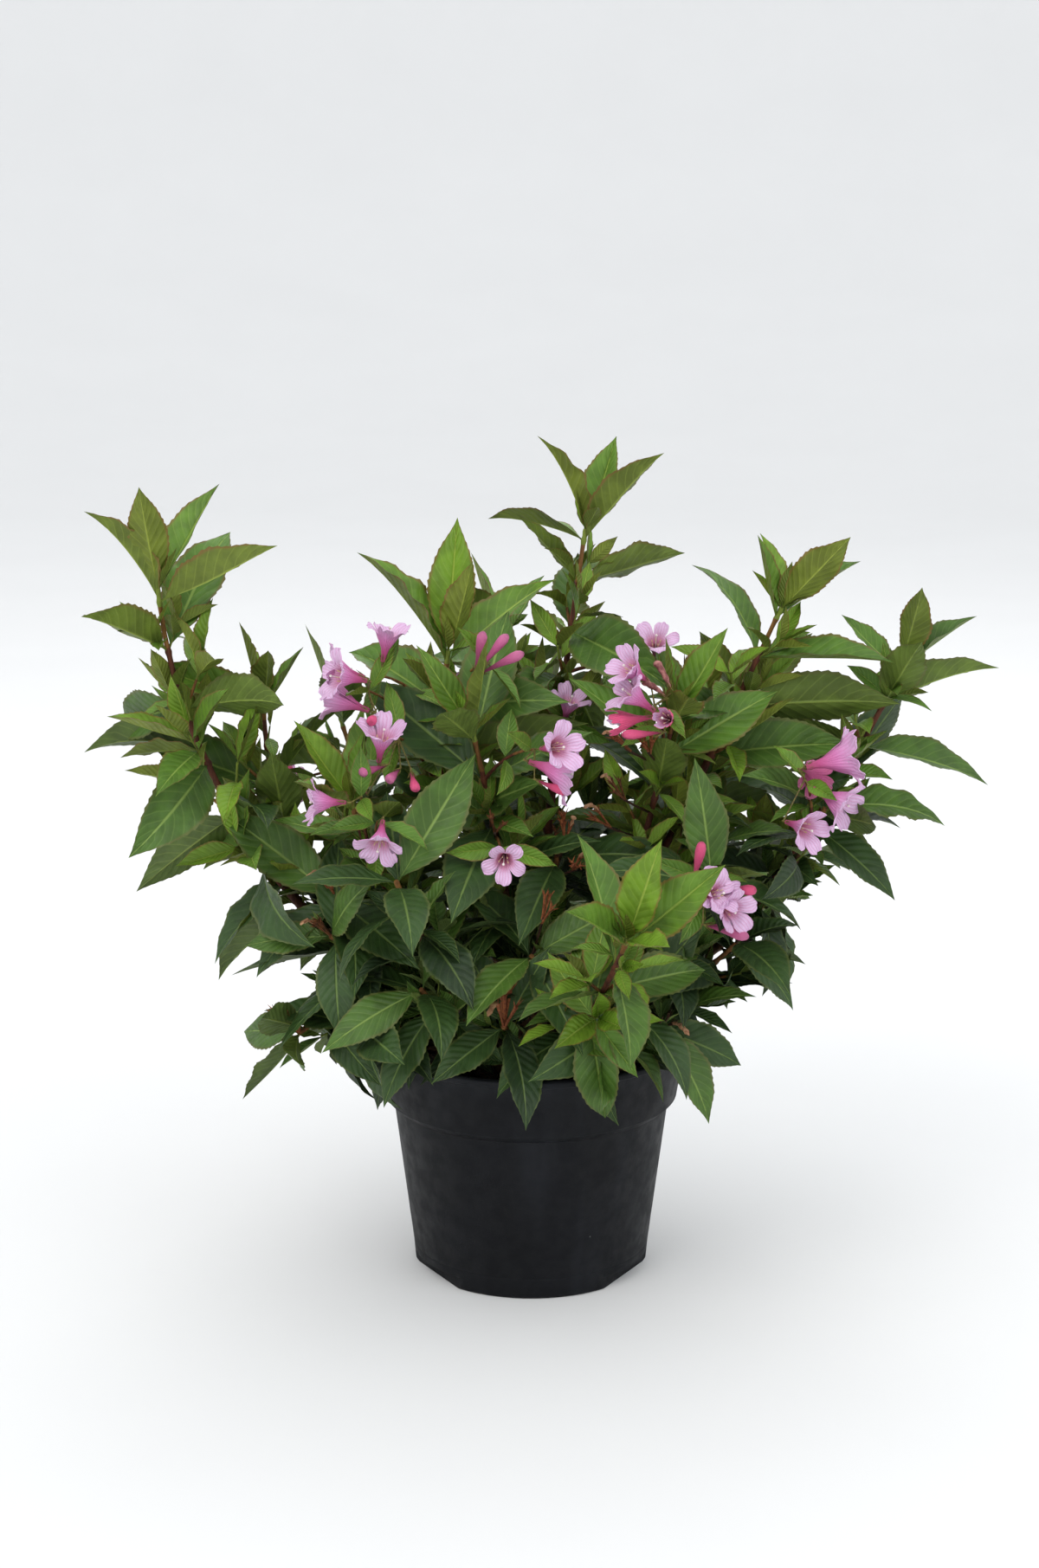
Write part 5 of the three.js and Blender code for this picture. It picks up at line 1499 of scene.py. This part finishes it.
def withered_bloom(bloom, chance):
    """A shrivelled corolla, bent over and pinched."""
    calyx(bloom.root, bloom.heading, chance)
    profile = [(d * bloom.length / COROLLA.whole, r * over(chance, 0.85, 0.3)) for d, r in SHRIVELLED]
    bend = Vector((about(chance, 8), about(chance, 8), -6))
    put(spindle(bloom.root, bloom.heading, profile, 8, bend), WITHERED)


for number, bunch in enumerate(clusters):
    chance = chance_of("blooms %d" % number)
    end = bunch.twig.points[-1]
    for bloom in bunch.blooms:
        stalk = bloom.root - end
        if stalk.length > 1:
            profile = [(-1, 0.9), (stalk.length / 2, 0.6), (stalk.length + 0.5, 0.7)]
            put(spindle(end, stalk.normalized(), profile, 5), CALYX)
        if bloom.kind == "withered":
            withered_bloom(bloom, chance)
        elif bloom.open or bloom.kind == "half":
            open_bloom(bloom, chance)
        else:
            bud(bloom, chance)
blossom.made(["mass_" + name for name in dict.fromkeys(b[0] for b in BLOSSOM)], "blossom", crease=50)


# ---- What is left of earlier blooms: dry stalks with split calyxes

SPENT_AT = (
    "front_centre", "low_left", "left_inside", "front_right_low", "right_low", "front_right", "left_mid", "middle",
    "back_low", "back_left_low", "back_right_low", "back_middle", "back_rim_left", "right_mid",
)
# Bunches that stand out: how much taller their stalks are, and which way they turn.
PROUD = {
    "front_centre": (1.8, (0.55, -0.6, 1.5)), "low_left": (1.3, (0, -0.2, 1.2)), "left_inside": (1.4, (0, -0.5, 1.2)),
    "front_right": (1.4, (0, -0.5, 1.2)),
}
DRY, DARK, DRY_PETAL, RUST = range(4)
HANG = Record(across=14, to_side=10, down=-12)
spent = Heap("spent_blossom", [
    plain_finish("calyx_dry", (74, 46, 28), (118, 72, 42), 300, 0.75),
    plain_finish("calyx_dark", (46, 32, 22), (78, 52, 36), 300, 0.75),
    plain_finish("petal_dry", (146, 100, 72), (190, 148, 112), 240, 0.75),
    plain_finish("calyx_rust", (108, 57, 34), (152, 90, 54), 300, 0.75),
])
# Dry stalks inside the crown: how long they get, and where they head for.
LONGEST_STALK, STALK_ARCH = 42, 0.06
STALKS = [
    (32, -70, 389), (45, -66, 386), (68, -70, 407), (62, -80, 452), (51, -112, 362), (-29, -118, 390),
    (86, -96, 451), (19, -130, 358),
]
TUFT = Record(tall=(11, 11), rise=UP * 0.5, keeps_petals=0.4, spread=(0.25, 0.5), sepal=(3.5, 4.5))


def split_calyx(root, way, chance, tone, stout):
    for j in range(PARTS):
        out = out_from(way, 2 * math.pi * (j + chance()) / PARTS)
        point = (way + out * over(chance, *TUFT.spread)).normalized()
        reach = stout * over(chance, *TUFT.sepal)
        put(spindle(root + out * 0.8, point, [(0, 0.8), (reach * 0.5, 0.5), (reach, 0.1)], 3), tone, spent)


def dry_stalks(foot, ways, chance, tone, stretch=1, rise=TUFT.rise):
    """A few short stalks, each with the split calyx of a bloom that has dropped. One may keep its dry corolla."""
    stout = math.sqrt(stretch)
    for i, way in enumerate(ways):
        way = (way + rise).normalized()
        tall = stretch * over(chance, *TUFT.tall)
        profile = [(0, 1.1), (tall * 0.5, 0.8), (tall, 1.2), (tall + 2, 1.5), (tall + 4, 0.9)]
        put(spindle(foot, way, [(d, r * stout) for d, r in profile], 5), tone, spent)
        split_calyx(foot + way * (tall + 2.5), way, chance, tone, stout)
        if i == 0 and (chance() < TUFT.keeps_petals or stretch > 1):
            side = about(chance, HANG.across) - HANG.to_side * (stretch - 1)
            hang = Vector((side, about(chance, HANG.across), HANG.down * stretch))
            put(spindle(foot + way * (tall + 3), way, DRY_COROLLA, 7, hang), DRY_PETAL, spent)


for name in SPENT_AT:
    chance = chance_of(name + " spent")
    stem = limbs[name].stem
    at = stem.at(stem.length)
    tone = DARK if chance() < 0.35 else DRY
    stretch, rise = PROUD.get(name, (1, TUFT.rise))
    wide = 1 if stretch == 1 else 3
    ways = [
        stem.leaving(at, 2 * math.pi * chance(), math.radians(wide * over(chance, 6, 20)))
        for _ in range(3 + round(3 * chance()))
    ]
    dry_stalks(at.point - at.direction * 2, ways, chance, RUST if stretch > 1 else tone, stretch, Vector(rise))

carriers = set()
for number, end in enumerate(STALKS):
    chance = chance_of("stalk %d" % number)
    end = Vector(end)
    name, foot = min(
        ((name, point) for name, limb in limbs.items() for point in limb.stem.points[8:-8] if point.z < end.z - 16),
        key=lambda spot: (spot[1] - end).length,
    )
    carriers.add(name)
    way = (end - foot).normalized()
    reach = min((end - foot).length, LONGEST_STALK)
    end, arch = foot + way * reach, Vector((0, 0, STALK_ARCH * reach))
    put(spindle(foot, way, [(-1, 1.2), (reach / 2, 1.0), (reach, 1.1)], 5, arch), DARK, spent)
    ways = [
        way + out_from(way, 2 * math.pi * chance()) * over(chance, 0.15, 0.5) for _ in range(3 + round(2 * chance()))
    ]
    dry_stalks(end + arch - way * 6, ways, chance, DRY if number % 3 == 2 else RUST)
spent.made(["mass_" + name for name in sorted({*SPENT_AT, *carriers})], "bark", crease=50)


# ---- Floor, which sweeps up into a wall, and the last lines

# Radius and height in metres.
SWEEP = [(5, 0), (6, 0.12), (7, 0.45), (7.8, 1.0), (8.4, 1.8), (8.8, 2.8), (8.9, 5)]
floor_finish = Finish("pale_floor", roughness=0.9, specular=0.1)
floor_finish.colour(floor_finish.mixed(floor_finish.grain(3, 2), (0.82, 0.82, 0.82, 1), (0.85, 0.85, 0.85, 1)))
bpy.ops.mesh.primitive_circle_add(vertices=96, radius=SWEEP[0][0], fill_type="NGON")
floor = bpy.context.object
floor.name = "floor"
bpy.ops.object.mode_set(mode="EDIT")
bpy.ops.mesh.select_mode(type="EDGE")
bpy.ops.mesh.region_to_loop()
for (r, z), (far, high) in zip(SWEEP, SWEEP[1:]):
    bpy.ops.mesh.extrude_edges_move(TRANSFORM_OT_translate={"value": (0, 0, high - z)})
    bpy.ops.transform.resize(value=(far / r, far / r, 1), center_override=(0, 0, 0))
bpy.ops.object.mode_set(mode="OBJECT")
smoothed(floor, 60)
floor.data.materials.append(floor_finish.material)
